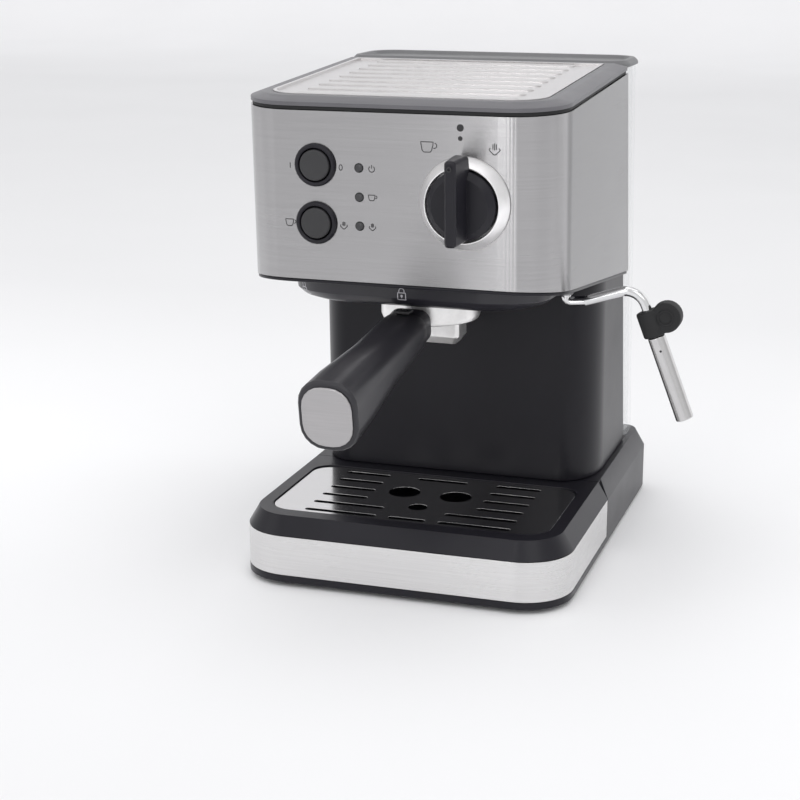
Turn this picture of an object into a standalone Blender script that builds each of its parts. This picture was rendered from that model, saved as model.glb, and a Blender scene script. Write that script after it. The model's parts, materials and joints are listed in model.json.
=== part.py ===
"""Pump espresso machine: separate named sub-parts on one empty.

Metres, +Z up, the front faces -Y.  The model is laid out from the middle of
the base's front edge; the root empty moves it so that the world origin lies
under the middle of the whole machine, on the worktop.
"""
import math

import bmesh
import bpy
from mathutils import Matrix, Vector

# ---------------------------------------------------------------- dimensions
GAP = 0.0003                        # clearance between pieces that touch
SETTLE_ROUNDS = 5                   # enough for a leaning upright to meet a slope
CORNER_STEPS = 11                   # facets round one outline corner
ROUND_STEPS = 48                    # facets round a turned piece

BASE_WIDTH = 0.200
BASE_DEPTH = 0.268
BASE_FRONT_RADIUS = 0.030
BASE_BACK_RADIUS = 0.018
TRAY_DEPTH = 0.1264                 # front edge to the seam with the rear housing
FOOT_HEIGHT = 0.003
FOOT_RADIUS = 0.009
FOOT_INSET = 0.026
RIM_HEIGHT = 0.004                  # dark rim that the drip tray stands on
BAND_HEIGHT = 0.0247                # steel band round the drip tray
FRAME_HEIGHT = 0.0111               # sloping frame above the band
FRAME_INSET = 0.0063
BAND_THICKNESS = 0.0010
HOUSING_WALL = 0.0030

GRID_HALF_WIDTH = 0.0855
GRID_FRONT = 0.0174
GRID_BACK = 0.1078
GRID_FRONT_RADIUS = 0.015
GRID_BACK_RADIUS = 0.012
GRID_THICKNESS = 0.0013
GRID_SET_DOWN = 0.0008
GRID_CLEARANCE = 0.0005
LEDGE_WIDTH = 0.004
TUB_FLOOR = 0.0025
SLOT_WIDTH = 0.0042
SLOT_PITCH = 0.0151
SLOT_ROWS = 6
SLOT_OUTER = 0.0635
DRAIN_RADIUS = 0.0098
DRAIN_SPREAD = 0.0164
SMALL_DRAIN_RADIUS = 0.0058
SMALL_DRAIN_Y = 0.047

COLUMN_HALF_WIDTH = 0.0905
COLUMN_FRONT = 0.1190
COLUMN_RADIUS = 0.022
COLUMN_WALL = 0.0025

HEAD_HALF_WIDTH = 0.0929
HEAD_FRONT = -0.0010
HEAD_BACK = 0.1860
HEAD_RADIUS = 0.031
HEAD_BACK_RADIUS = 0.003
HEAD_TOP = 0.2818                   # top edge of the front panel
HEAD_BOTTOM = 0.1870                # bottom edge of the front panel
TOP_SLOPE = 0.048                   # the top rises towards the back
BOTTOM_SLOPE = 0.120                # the underside falls towards the back
FRONT_LEAN = 0.035
BACK_LEAN = 0.177
WRAP_THICKNESS = 0.0012
PAN_THICKNESS = 0.0018
BACK_PLATE = 0.0022

GASKET_HEIGHT = 0.0020
GASKET_INSET = 0.0009
GASKET_WIDTH = 0.010
TRIM_WALL = 0.0022
TRIM_HEIGHT = 0.0047
TRIM_CHAMFER = 0.0072
TRIM_WIDTH = 0.0125
WARMER_THICKNESS = 0.0012
WARMER_LIP = 0.0014
WARMER_LIP_WIDTH = 0.0022
WARMER_SET_DOWN = 0.0010
RIB_COUNT = 9
RIB_PITCH = 0.0176
RIB_HALF_LENGTH = 0.064
RIB_HALF_WIDTH = 0.0034
RIB_HEIGHT = 0.0010

TANK_HALF_WIDTH = 0.0905
TANK_RADIUS = 0.020
TANK_WALL = 0.0020
TANK_TOP_BACK = 0.2400
TANK_BOTTOM_BACK = 0.2640
TANK_FRONT_GAP = 0.0015
TANK_RISE = 0.0026                  # tank rim above the head's side panels
LID_HEIGHT = 0.0042
LID_CORNER = 0.014
LID_OVERHANG = 0.0012
LID_CHAMFER = 0.0022
LID_POCKET_DEPTH = 0.0020
LID_POCKET_INSET = 0.0070

BUTTON_X = -0.0452
BUTTON_TOP_Z = 0.2520
BUTTON_PITCH = 0.0324
BEZEL_RADIUS = 0.0121
BUTTON_RADIUS = 0.0088
BEZEL_PROUD = 0.0022
BUTTON_PROUD = 0.0028
BUTTON_TRAVEL = 0.0020
SWITCH_DEPTH = 0.0180
SWITCH_RADIUS = 0.0110
LENS_X = -0.0198
LENS_TOP_Z = 0.2513
LENS_PITCH = 0.01622
LENS_RADIUS = 0.0024

KNOB_X = 0.0408
KNOB_Z = 0.2345
KNOB_RADIUS = 0.0193
KNOB_DEPTH = 0.0100
KNOB_CHAMFER = 0.0035
KNOB_BAR_HALF_WIDTH = 0.0032
KNOB_BAR_HALF_LENGTH = 0.0232
KNOB_BAR_DEPTH = 0.0180
KNOB_BAR_RISE = 0.0045              # the bar reaches further above the middle than below
KNOB_STANDOFF = 0.0022
RING_RADIUS = 0.0255
RING_HEIGHT = 0.0076                # a cone that rises towards the knob
RING_EDGE = 0.0008
RING_HOLE = 0.0202
SHAFT_RADIUS = 0.0030
SHAFT_LENGTH = 0.0235

GROUP_Y = 0.0722
SHROUD_HALF_WIDTH = 0.0775
SHROUD_FRONT = 0.0225
SHROUD_BACK = 0.1115
SHROUD_RADIUS = 0.036
SHROUD_BOTTOM = 0.1685
SHROUD_WALL = 0.0020
SHROUD_TUCK = 0.0095                # how far the bowl draws in towards its floor
COLLAR_RADIUS = 0.0346
COLLAR_BOTTOM = 0.1680
COLLAR_FLANGE = 0.0296
COLLAR_GROOVE = 0.0324
COLLAR_CEILING = 0.1777
GROUP_TOP = 0.1848
BOILER_RADIUS = 0.036
BOILER_HEIGHT = 0.026

BASKET_SEAT = 0.1725
BOWL_RADIUS = 0.0296
BOWL_BORE = 0.0262
BOWL_BOTTOM = 0.1536
LUG_RADIUS = 0.0320
LUG_HALF_ANGLE = 14.0
LUG_BOTTOM = 0.1695
LUG_TOP = 0.1720
UNLOCK_ANGLE = 45.0
HANDLE_REST_ANGLE = -1.7
HANDLE_CLEAR = 0.0006               # between the bowl and the handle's neck
HANDLE_START = BOWL_RADIUS + HANDLE_CLEAR
HANDLE_END = 0.1660
HANDLE_START_Z = 0.1578
HANDLE_END_Z = 0.1358
NECK_WIDTH = 0.016
NECK_HEIGHT = 0.0110
SLEEVE_WIDTH = 0.0250               # round collar where the handle meets the bowl
SLEEVE_HEIGHT = 0.0200
HANDLE_WIDTH = 0.0333
HANDLE_HEIGHT = 0.0393
CAP_WIDTH = 0.0280
CAP_HEIGHT = 0.0334
CAP_THICKNESS = 0.0012
CLIP_THICKNESS = 0.0016
CLIP_LIFT = 0.0003
SPOUT_HALF_WIDTH = 0.0200
SPOUT_HALF_DEPTH = 0.0090
SPOUT_HEIGHT = 0.0139

WAND_FROM_SIDE = 0.0096             # socket, in from the head's side
WAND_CREST_OUT = 0.0327             # crest of the tube, out from the head's side
WAND_TIP_OUT = 0.0621
WAND_X = HEAD_HALF_WIDTH - WAND_FROM_SIDE
WAND_Y = 0.0660
WAND_SOCKET_RADIUS = 0.0047
WAND_SOCKET_BOTTOM = 0.1742
WAND_TUBE_RADIUS = 0.0029
WAND_LOW_Z = 0.1698
WAND_CREST_X = HEAD_HALF_WIDTH + WAND_CREST_OUT
WAND_CREST_Z = 0.1812
WAND_BEND = 0.0035
WAND_CREST_BEND = 0.0120
WAND_TIP_X = HEAD_HALF_WIDTH + WAND_TIP_OUT
WAND_TIP_Z = 0.1055
SLEEVE_RADIUS = 0.0051
SLEEVE_LENGTH = 0.0510
GRIP_RADIUS = 0.0069
GRIP_LENGTH = 0.0155
THUMB_RADIUS = 0.0088
THUMB_DEPTH = 0.0100
THUMB_REACH = 0.0095
THUMB_PLACE = 0.43                  # share of the grip's length above the thumb disc

NECK_CORNER = 0.004
SLEEVE_CORNER = 0.007
SLEEVE_EASE = 0.001                 # rounding where the collar begins
NECK_LENGTH = 0.0048
SLEEVE_END = 0.0160                 # from the handle's start
HANDLE_CORNER = 0.0135
HANDLE_EASE = 0.002                 # rounding at the handle's end
# (from the handle's start, share of its width, share of its height, corner)
HANDLE_SWELL = (
    (0.0166, 0.80, 0.54, 0.008), (0.0240, 0.84, 0.58, 0.009),
    (0.0700, 0.88, 0.74, 0.012),
)
# the same, measured back from the handle's end
HANDLE_FLARE = ((0.0200, 0.98, 0.97, HANDLE_CORNER),
                (0.0015, 1.00, 1.00, HANDLE_CORNER))
CAP_CORNER = 0.0118
CAP_EASE = 0.0008
CLIP_REACH = 0.0185                 # from the handle's start
CLIP_WIDTH = 0.009
CLIP_LENGTH = 0.008
CLIP_PLACE = 0.284                  # share of the handle's height above its axis

SLOT_INNER_SHORT = 0.0345
SLOT_INNER_LONG = 0.0190
BACK_SLOT_HALF = 0.0165
FRONT_SLOT_HALF = 0.0115

INLET_RADIUS = 0.0085
INLET_X = 0.040
INLET_Y = 0.2525
GLAND_RADIUS = 0.0050
GLAND_X = -0.060
GLAND_Z = 0.0200
VENT_COUNT = 4
VENT_LOW = 0.070
VENT_PITCH = 0.010
VENT_WIDTH = 0.060
VENT_HEIGHT = 0.003
PUMP_RADIUS = 0.021
PUMP_LENGTH = 0.095
PUMP_Y = 0.172
PUMP_Z = 0.080

WAND_STEM_RADIUS = 0.0034

VALVE_SIZE = 0.022

# -------------------------------------------------------- heights that follow
RIM_TOP = FOOT_HEIGHT + RIM_HEIGHT
BAND_TOP = RIM_TOP + BAND_HEIGHT
FRAME_TOP = BAND_TOP + FRAME_HEIGHT
GRID_TOP = FRAME_TOP - GRID_SET_DOWN
GRID_BOTTOM = GRID_TOP - GRID_THICKNESS
BASE_HALF = BASE_WIDTH / 2
HOUSING_FRONT = TRAY_DEPTH + GAP
GROUP_AXIS = Vector((0.0, GROUP_Y, 0.0))

# ---------------------------------------------------- where the origin lies
RIGHT_EXTENT = WAND_TIP_X + SLEEVE_RADIUS
FRONT_EXTENT = GROUP_Y - HANDLE_END - CAP_THICKNESS
ORIGIN = Vector((
    -(RIGHT_EXTENT - BASE_HALF) / 2,
    -(FRONT_EXTENT + BASE_DEPTH) / 2,
    0.0,
))


# ------------------------------------------------------------------ helpers
def clear_scene():
    for item in list(bpy.data.objects):
        bpy.data.objects.remove(item, do_unlink=True)


def material(name, colour, roughness, metallic):
    """One Principled material, made once and shared."""
    found = bpy.data.materials.get(name)
    if found:
        return found
    made = bpy.data.materials.new(name)
    made.use_nodes = True
    shader = made.node_tree.nodes["Principled BSDF"]
    shader.inputs["Base Color"].default_value = (*colour, 1.0)
    shader.inputs["Roughness"].default_value = roughness
    shader.inputs["Metallic"].default_value = metallic
    return made


def add(name, bm, look, pivot=None, parent=None):
    """Finish a bmesh as one object whose origin is the pivot."""
    pivot = pivot or Vector((0.0, 0.0, 0.0))
    bmesh.ops.translate(bm, verts=bm.verts[:], vec=-pivot)
    bmesh.ops.recalc_face_normals(bm, faces=bm.faces[:])
    mesh = bpy.data.meshes.new(name)
    bm.to_mesh(mesh)
    bm.free()
    mesh.shade_smooth()
    mesh.set_sharp_from_angle(angle=math.radians(30.0))
    item = bpy.data.objects.new(name, mesh)
    item.data.materials.append(look)
    item.parent = parent or ROOT
    item.location = pivot
    bpy.context.collection.objects.link(item)
    return item


def empty(name, location, parent=None):
    item = bpy.data.objects.new(name, None)
    item.empty_display_size = 0.02
    item.location = location
    item.parent = parent
    bpy.context.collection.objects.link(item)
    return item


def cut(target, bm, name, operation="DIFFERENCE"):
    """Boolean the target with a hidden cutter built in the same frame."""
    tool = add(name, bm, CUTTER, target.location.copy(), target.parent)
    tool.hide_render = True
    tool.display_type = "WIRE"
    change = target.modifiers.new(name, "BOOLEAN")
    change.operation = operation
    change.solver = "EXACT"
    change.object = tool
    return target


def outline(half_width, front, back, front_radius, back_radius, inset=0.0):
    """Rounded rectangle in plan, anticlockwise from its front left corner."""
    half = half_width - inset
    near = front + inset
    far = back - inset
    near_radius = max(front_radius - inset, 0.0004)
    far_radius = max(back_radius - inset, 0.0004)
    corners = (
        (-half + near_radius, near + near_radius, near_radius, 180.0),
        (half - near_radius, near + near_radius, near_radius, 270.0),
        (half - far_radius, far - far_radius, far_radius, 0.0),
        (-half + far_radius, far - far_radius, far_radius, 90.0),
    )
    points = []
    for centre_x, centre_y, radius, start in corners:
        for step in range(CORNER_STEPS + 1):
            turn = math.radians(start + 90.0 * step / CORNER_STEPS)
            points.append((
                centre_x + radius * math.cos(turn),
                centre_y + radius * math.sin(turn),
            ))
    return points


def open_outline(half_width, front, back, radius, thickness):
    """U in plan, open at the back: outer path one way, inner path back."""
    outer = outline(half_width, front, back, radius, 0.0004)
    inner = outline(half_width, front, back, radius, 0.0004, thickness)
    half = len(outer) // 2
    path = [(-half_width, back)] + outer[:half] + [(half_width, back)]
    inside = half_width - thickness
    back_path = [(-inside, back)] + inner[:half] + [(inside, back)]
    return path + back_path[::-1]


def level(points, height):
    """Raise a plan outline to a height, a number or a function of y."""
    if callable(height):
        return [Vector((x, y, height(y))) for x, y in points]
    return [Vector((x, y, height)) for x, y in points]


def loft(rings, closed=False):
    """Skin rings of equal count by extruding the first edge loop."""
    bm = bmesh.new()
    verts = [bm.verts.new(point) for point in rings[0]]
    count = len(verts)
    first = [
        bm.edges.new((verts[i], verts[(i + 1) % count])) for i in range(count)
    ]
    edges = first
    for ring in rings[1:]:
        made = bmesh.ops.extrude_edge_only(bm, edges=edges)["geom"]
        fresh = {item for item in made if isinstance(item, bmesh.types.BMVert)}
        edges = [
            item for item in made
            if isinstance(item, bmesh.types.BMEdge)
            and item.verts[0] in fresh and item.verts[1] in fresh
        ]
        following = []
        for vert in verts:
            for edge in vert.link_edges:
                other = edge.other_vert(vert)
                if other in fresh:
                    following.append(other)
        verts = following
        for vert, point in zip(verts, ring):
            vert.co = point
    if closed:
        bmesh.ops.bridge_loops(bm, edges=first + edges)
    else:
        for loop in (first, edges):
            face = bmesh.ops.contextual_create(bm, geom=loop)["faces"]
            bmesh.ops.triangulate(bm, faces=face)
    bmesh.ops.recalc_face_normals(bm, faces=bm.faces[:])
    return bm


def turned(profile, steps=ROUND_STEPS):
    """Spin a closed (radius, height) profile about Z."""
    bm = bmesh.new()
    verts = [bm.verts.new((radius, 0.0, z)) for radius, z in profile]
    count = len(verts)
    for i in range(count):
        on_axis = profile[i][0] == 0.0 and profile[(i + 1) % count][0] == 0.0
        if not on_axis:
            bm.edges.new((verts[i], verts[(i + 1) % count]))
    bmesh.ops.spin(
        bm, geom=bm.verts[:] + bm.edges[:], cent=(0, 0, 0), axis=(0, 0, 1),
        angle=math.tau, steps=steps, use_merge=True,
    )
    bmesh.ops.remove_doubles(bm, verts=bm.verts[:], dist=0.000001)
    bmesh.ops.recalc_face_normals(bm, faces=bm.faces[:])
    return bm


def cylinder(radius, length, steps=ROUND_STEPS, bevel=0.0, end_radius=None):
    """Cylinder or cone standing on z = 0."""
    bm = bmesh.new()
    bmesh.ops.create_cone(
        bm, cap_ends=True, segments=steps, radius1=radius,
        radius2=radius if end_radius is None else end_radius, depth=length,
    )
    bmesh.ops.translate(bm, verts=bm.verts[:], vec=(0, 0, length / 2))
    if bevel:
        rims = [e for e in bm.edges if abs(e.verts[0].co.z - e.verts[1].co.z) < 1e-9]
        bmesh.ops.bevel(
            bm, geom=rims, offset=bevel, segments=2, profile=0.5,
            affect="EDGES", material=-1,
        )
    return bm


def block(size, centre, bevel=0.0):
    bm = bmesh.new()
    bmesh.ops.create_cube(bm, size=1.0)
    bmesh.ops.scale(bm, verts=bm.verts[:], vec=size)
    if bevel:
        bmesh.ops.bevel(
            bm, geom=bm.edges[:], offset=bevel, segments=2, profile=0.5,
            affect="EDGES", material=-1,
        )
    bmesh.ops.translate(bm, verts=bm.verts[:], vec=centre)
    return bm


def moved(bm, location, rotation=None):
    if rotation is not None:
        bmesh.ops.transform(bm, verts=bm.verts[:], matrix=rotation)
    bmesh.ops.translate(bm, verts=bm.verts[:], vec=location)
    return bm


def joined(*pieces):
    """Copy several bmeshes into one, for a cutter of many shapes."""
    whole = bmesh.new()
    for piece in pieces:
        scratch = bpy.data.meshes.new("scratch")
        piece.to_mesh(scratch)
        piece.free()
        whole.from_mesh(scratch)
        bpy.data.meshes.remove(scratch)
    return whole


def filleted(corners, radius, steps=8):
    """Path through corners, each inner corner rounded by an arc."""
    path = [corners[0]]
    radii = [radius] * len(corners) if isinstance(radius, float) else radius
    for before, corner, after, radius in zip(
        corners, corners[1:], corners[2:], radii,
    ):
        arrive = (before - corner).normalized()
        leave = (after - corner).normalized()
        half = arrive.angle(leave) / 2
        reach = radius / math.tan(half)
        start = corner + arrive * reach
        finish = corner + leave * reach
        centre = corner + (arrive + leave).normalized() * (radius / math.sin(half))
        first = start - centre
        last = finish - centre
        sweep = first.angle(last)
        for step in range(steps + 1):
            share = step / steps
            arm = (
                first * math.sin((1 - share) * sweep)
                + last * math.sin(share * sweep)
            ) / math.sin(sweep)
            path.append(centre + arm)
    path.append(corners[-1])
    return path


def swept(path, radius, steps=16):
    """Round bar along a path, squared to the path at each point."""
    rings = []
    side = None
    for index, point in enumerate(path):
        before = path[max(index - 1, 0)]
        after = path[min(index + 1, len(path) - 1)]
        along = (after - before).normalized()
        if side is None:
            side = along.orthogonal().normalized()
        side = (side - along * side.dot(along)).normalized()
        up = along.cross(side)
        rings.append([
            point + radius * (
                side * math.cos(math.tau * i / steps)
                + up * math.sin(math.tau * i / steps)
            )
            for i in range(steps)
        ])
    return loft(rings)


def rounded_section(width, height, radius, steps=5):
    """Rounded rectangle in x and z."""
    points = []
    for centre_x, centre_z, start in (
        (width / 2 - radius, height / 2 - radius, 0.0),
        (-width / 2 + radius, height / 2 - radius, 90.0),
        (-width / 2 + radius, -height / 2 + radius, 180.0),
        (width / 2 - radius, -height / 2 + radius, 270.0),
    ):
        for step in range(steps + 1):
            turn = math.radians(start + 90.0 * step / steps)
            points.append((
                centre_x + radius * math.cos(turn),
                centre_z + radius * math.sin(turn),
            ))
    return points


# ------------------------------------------------- the leaning head's shape
def top_z(y):
    return HEAD_TOP + TOP_SLOPE * (y - HEAD_FRONT)


def bottom_z(y):
    front_foot = HEAD_FRONT + FRONT_LEAN * (HEAD_TOP - HEAD_BOTTOM)
    return HEAD_BOTTOM - BOTTOM_SLOPE * (y - front_foot)


def leaned(y, z):
    """Front and back faces lean back towards the bottom by their own slopes."""
    share = (y - HEAD_FRONT) / (HEAD_BACK - HEAD_FRONT)
    lean = FRONT_LEAN + (BACK_LEAN - FRONT_LEAN) * share
    return y + lean * (HEAD_TOP - z)


def sloped_point(x, y, height_of, lift):
    """Where a leaning upright that starts at y meets the slope height_of."""
    reach = y
    for _ in range(SETTLE_ROUNDS):
        z = height_of(reach) + lift
        reach = leaned(y, z)
    return Vector((x, reach, z))


def head_ring(points, height_of, lift):
    """Plan outline of the head, laid on its top or bottom slope."""
    return [sloped_point(x, y, height_of, lift) for x, y in points]


def head_outline(inset=0.0):
    return outline(
        HEAD_HALF_WIDTH, HEAD_FRONT, HEAD_BACK, HEAD_RADIUS, HEAD_BACK_RADIUS,
        inset,
    )


def panel_y(z):
    """The front panel's outer face at a height."""
    return leaned(HEAD_FRONT, z)


# A turned piece's +Z leaves the front panel square to it.
PANEL_TILT = Matrix.Rotation(
    math.radians(90.0) + math.atan(FRONT_LEAN), 3, "X"
)
PANEL_OUT = PANEL_TILT @ Vector((0.0, 0.0, 1.0))


def on_panel(bm, x, z, proud=0.0):
    return moved(bm, Vector((x, panel_y(z), z)) + PANEL_OUT * proud, PANEL_TILT)


# ---------------------------------------------------------------------- base
def build_base():
    rear = dict(
        half_width=BASE_HALF, front=HOUSING_FRONT, back=BASE_DEPTH,
        front_radius=0.0004, back_radius=BASE_BACK_RADIUS,
    )
    housing = add("base_housing", loft([
        level(outline(**rear), FOOT_HEIGHT),
        level(outline(**rear), BAND_TOP),
        level(outline(**rear, inset=FRAME_INSET), FRAME_TOP),
    ]), BLACK)
    # the sloping shoulder runs round the sides and back, not the seam
    shoulder = block(
        (BASE_WIDTH - 2 * FRAME_INSET, 2 * FRAME_INSET, FRAME_TOP - FOOT_HEIGHT),
        (0.0, HOUSING_FRONT + FRAME_INSET, (FRAME_TOP + FOOT_HEIGHT) / 2),
    )
    cut(housing, shoulder, "housing_front_fill", "UNION")
    shelf = loft([
        level(outline(BASE_HALF, 0.0, BASE_DEPTH / 2 + TRAY_DEPTH / 2,
                      BASE_FRONT_RADIUS, 0.0004), z)
        for z in (FOOT_HEIGHT, RIM_TOP)
    ])
    cut(housing, shelf, "tray_shelf", "UNION")
    wall = HOUSING_WALL + FRAME_INSET
    hollow = loft([
        level(outline(**rear, inset=HOUSING_WALL + FRAME_INSET), z)
        for z in (FOOT_HEIGHT - 0.001, FRAME_TOP - HOUSING_WALL)
    ])
    cut(housing, hollow, "housing_hollow")
    cut(housing, moved(
        cylinder(INLET_RADIUS + GAP, FRAME_TOP), (INLET_X, INLET_Y, FOOT_HEIGHT),
    ), "housing_inlet_hole")
    cut(housing, moved(
        cylinder(GLAND_RADIUS + GAP, 0.04, 24), (GLAND_X, BASE_DEPTH - 0.02, GLAND_Z),
        Matrix.Rotation(math.radians(-90.0), 3, "X"),
    ), "housing_gland_hole")

    cover = outline(**rear, inset=wall + GAP)
    add("bottom_plate", loft([
        level(cover, FOOT_HEIGHT), level(cover, FOOT_HEIGHT + 0.002),
    ]), BLACK)

    for label, x, y in (
        ("front_left", -1, FOOT_INSET), ("front_right", 1, FOOT_INSET),
        ("rear_left", -1, BASE_DEPTH - FOOT_INSET),
        ("rear_right", 1, BASE_DEPTH - FOOT_INSET),
    ):
        foot = cylinder(FOOT_RADIUS, FOOT_HEIGHT - GAP, 24, 0.0008)
        add("foot_" + label, moved(
            foot, (x * (BASE_HALF - FOOT_INSET), y, 0.0),
        ), RUBBER)

    gland = turned([
        (0.0, 0.0), (GLAND_RADIUS, 0.0), (GLAND_RADIUS, 0.006),
        (GLAND_RADIUS + 0.002, 0.006), (GLAND_RADIUS + 0.002, 0.009),
        (0.0, 0.009),
    ], 24)
    add("cord_gland", moved(
        gland, (GLAND_X, BASE_DEPTH - 0.006 + GAP, GLAND_Z),
        Matrix.Rotation(math.radians(-90.0), 3, "X"),
    ), RUBBER)

    inlet = turned([
        (0.0, 0.0), (INLET_RADIUS, 0.0), (INLET_RADIUS, 0.0075),
        (INLET_RADIUS - 0.003, 0.0075), (INLET_RADIUS - 0.003, 0.0035),
        (0.0, 0.0035),
    ], 24)
    add("water_inlet", moved(
        inlet, (INLET_X, INLET_Y, FRAME_TOP - 0.0072),
    ), GREY_PLASTIC)


# --------------------------------------------------------------- drip tray
def slot_ends(row):
    """Inner end of a row's slots; the outer ends share one line."""
    return SLOT_INNER_LONG if row >= SLOT_ROWS - 2 else SLOT_INNER_SHORT


def slot(x0, x1, y):
    length = x1 - x0
    points = []
    half = SLOT_WIDTH / 2
    for centre, start in ((x1 - half, -90.0), (x0 + half, 90.0)):
        for step in range(7):
            turn = math.radians(start + 30.0 * step)
            points.append((centre + half * math.cos(turn), y + half * math.sin(turn)))
    return loft([
        level(points, GRID_BOTTOM - 0.002), level(points, GRID_TOP + 0.002),
    ])


def build_tray():
    pivot = Vector((0.0, TRAY_DEPTH / 2, RIM_TOP))

    def tray_outline(inset):
        return outline(
            BASE_HALF, 0.0, TRAY_DEPTH, BASE_FRONT_RADIUS, 0.0004, inset,
        )

    def tray_side(inset):
        """Insets the front and sides only, so the seam stays flat."""
        return [
            (x, min(y, TRAY_DEPTH)) for x, y in outline(
                BASE_HALF, 0.0, TRAY_DEPTH + inset, BASE_FRONT_RADIUS, 0.0004,
                inset,
            )
        ]

    def opening(inset):
        return outline(
            GRID_HALF_WIDTH + GRID_CLEARANCE, GRID_FRONT - GRID_CLEARANCE,
            GRID_BACK + GRID_CLEARANCE, GRID_FRONT_RADIUS, GRID_BACK_RADIUS,
            inset,
        )

    behind_band = BAND_THICKNESS + GAP
    ledge = GRID_BOTTOM - GAP
    add("drip_tray", loft([
        level(tray_side(behind_band), RIM_TOP + GAP),
        level(tray_side(behind_band), BAND_TOP),
        level(tray_outline(0.0), BAND_TOP + GAP),
        level(tray_side(FRAME_INSET), FRAME_TOP),
        level(opening(0.0), FRAME_TOP),
        level(opening(0.0), ledge),
        level(opening(LEDGE_WIDTH), ledge),
        level(opening(LEDGE_WIDTH), RIM_TOP + GAP + TUB_FLOOR),
    ]), BLACK, pivot)

    band = open_outline(
        BASE_HALF, 0.0, TRAY_DEPTH - GAP, BASE_FRONT_RADIUS, BAND_THICKNESS,
    )
    add("tray_band", loft([
        level(band, RIM_TOP + GAP), level(band, BAND_TOP - GAP / 2),
    ]), STEEL, pivot)

    plate = outline(
        GRID_HALF_WIDTH, GRID_FRONT, GRID_BACK, GRID_FRONT_RADIUS,
        GRID_BACK_RADIUS,
    )
    grid = add("drip_grid", loft([
        level(plate, GRID_BOTTOM), level(plate, GRID_TOP),
    ]), STEEL, Vector((0.0, (GRID_FRONT + GRID_BACK) / 2, GRID_BOTTOM)))
    first_row = GRID_BACK - SLOT_PITCH * 0.55
    cutters = []
    for row in range(SLOT_ROWS):
        y = first_row - SLOT_PITCH * row
        inner = slot_ends(row)
        cutters.append(slot(inner, SLOT_OUTER, y))
        cutters.append(slot(-SLOT_OUTER, -inner, y))
    cutters.append(slot(-BACK_SLOT_HALF, BACK_SLOT_HALF, first_row))
    cutters.append(slot(
        -FRONT_SLOT_HALF, FRONT_SLOT_HALF,
        first_row - SLOT_PITCH * (SLOT_ROWS - 1),
    ))
    for x, y, radius in (
        (-DRAIN_SPREAD, GROUP_Y, DRAIN_RADIUS),
        (DRAIN_SPREAD, GROUP_Y, DRAIN_RADIUS),
        (0.0, SMALL_DRAIN_Y, SMALL_DRAIN_RADIUS),
    ):
        cutters.append(moved(
            cylinder(radius, 0.006, 28), (x, y, GRID_BOTTOM - 0.002),
        ))
    cut(grid, joined(*cutters), "grid_slots")


# ------------------------------------------------------------------- column
def column_ring(inset, at_top):
    """The column's front is upright and its back leans like the head's."""
    plan = outline(
        COLUMN_HALF_WIDTH, COLUMN_FRONT, HEAD_BACK, COLUMN_RADIUS, 0.004, inset,
    )
    ring = []
    for x, y in plan:
        share = (y - COLUMN_FRONT) / (HEAD_BACK - COLUMN_FRONT)
        z = FRAME_TOP + GAP
        if at_top:
            reach = y
            for _ in range(SETTLE_ROUNDS):
                z = bottom_z(reach) - PAN_THICKNESS - 2 * GAP
                reach = y + BACK_LEAN * share * (HEAD_TOP - z)
        ring.append(Vector((x, y + BACK_LEAN * share * (HEAD_TOP - z), z)))
    return ring


def build_column():
    shell = add("column_shell", loft([
        column_ring(0.0, False), column_ring(0.0, True),
        column_ring(COLUMN_WALL, True), column_ring(COLUMN_WALL, False),
    ], closed=True), BLACK)
    vents = []
    for index in range(VENT_COUNT):
        z = VENT_LOW + VENT_PITCH * index
        vents.append(block(
            (VENT_WIDTH, 0.03, VENT_HEIGHT),
            (0.0, leaned(HEAD_BACK, z), z),
        ))
    cut(shell, joined(*vents), "column_vents")
    pump = moved(
        cylinder(PUMP_RADIUS, PUMP_LENGTH, 32, 0.002),
        (-PUMP_LENGTH / 2, PUMP_Y, PUMP_Z),
        Matrix.Rotation(math.radians(90.0), 3, "Y"),
    )
    add("pump", pump, GREY_PLASTIC)
    mount = block(
        (PUMP_LENGTH * 0.6, PUMP_RADIUS * 1.2, PUMP_Z - FRAME_TOP - GAP),
        (0.0, PUMP_Y, (PUMP_Z + FRAME_TOP + GAP) / 2),
    )
    bracket = add("pump_mount", mount, RUBBER)
    cut(bracket, moved(
        cylinder(PUMP_RADIUS + GAP, PUMP_LENGTH * 2, 32),
        (-PUMP_LENGTH, PUMP_Y, PUMP_Z),
        Matrix.Rotation(math.radians(90.0), 3, "Y"),
    ), "mount_saddle")


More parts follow.
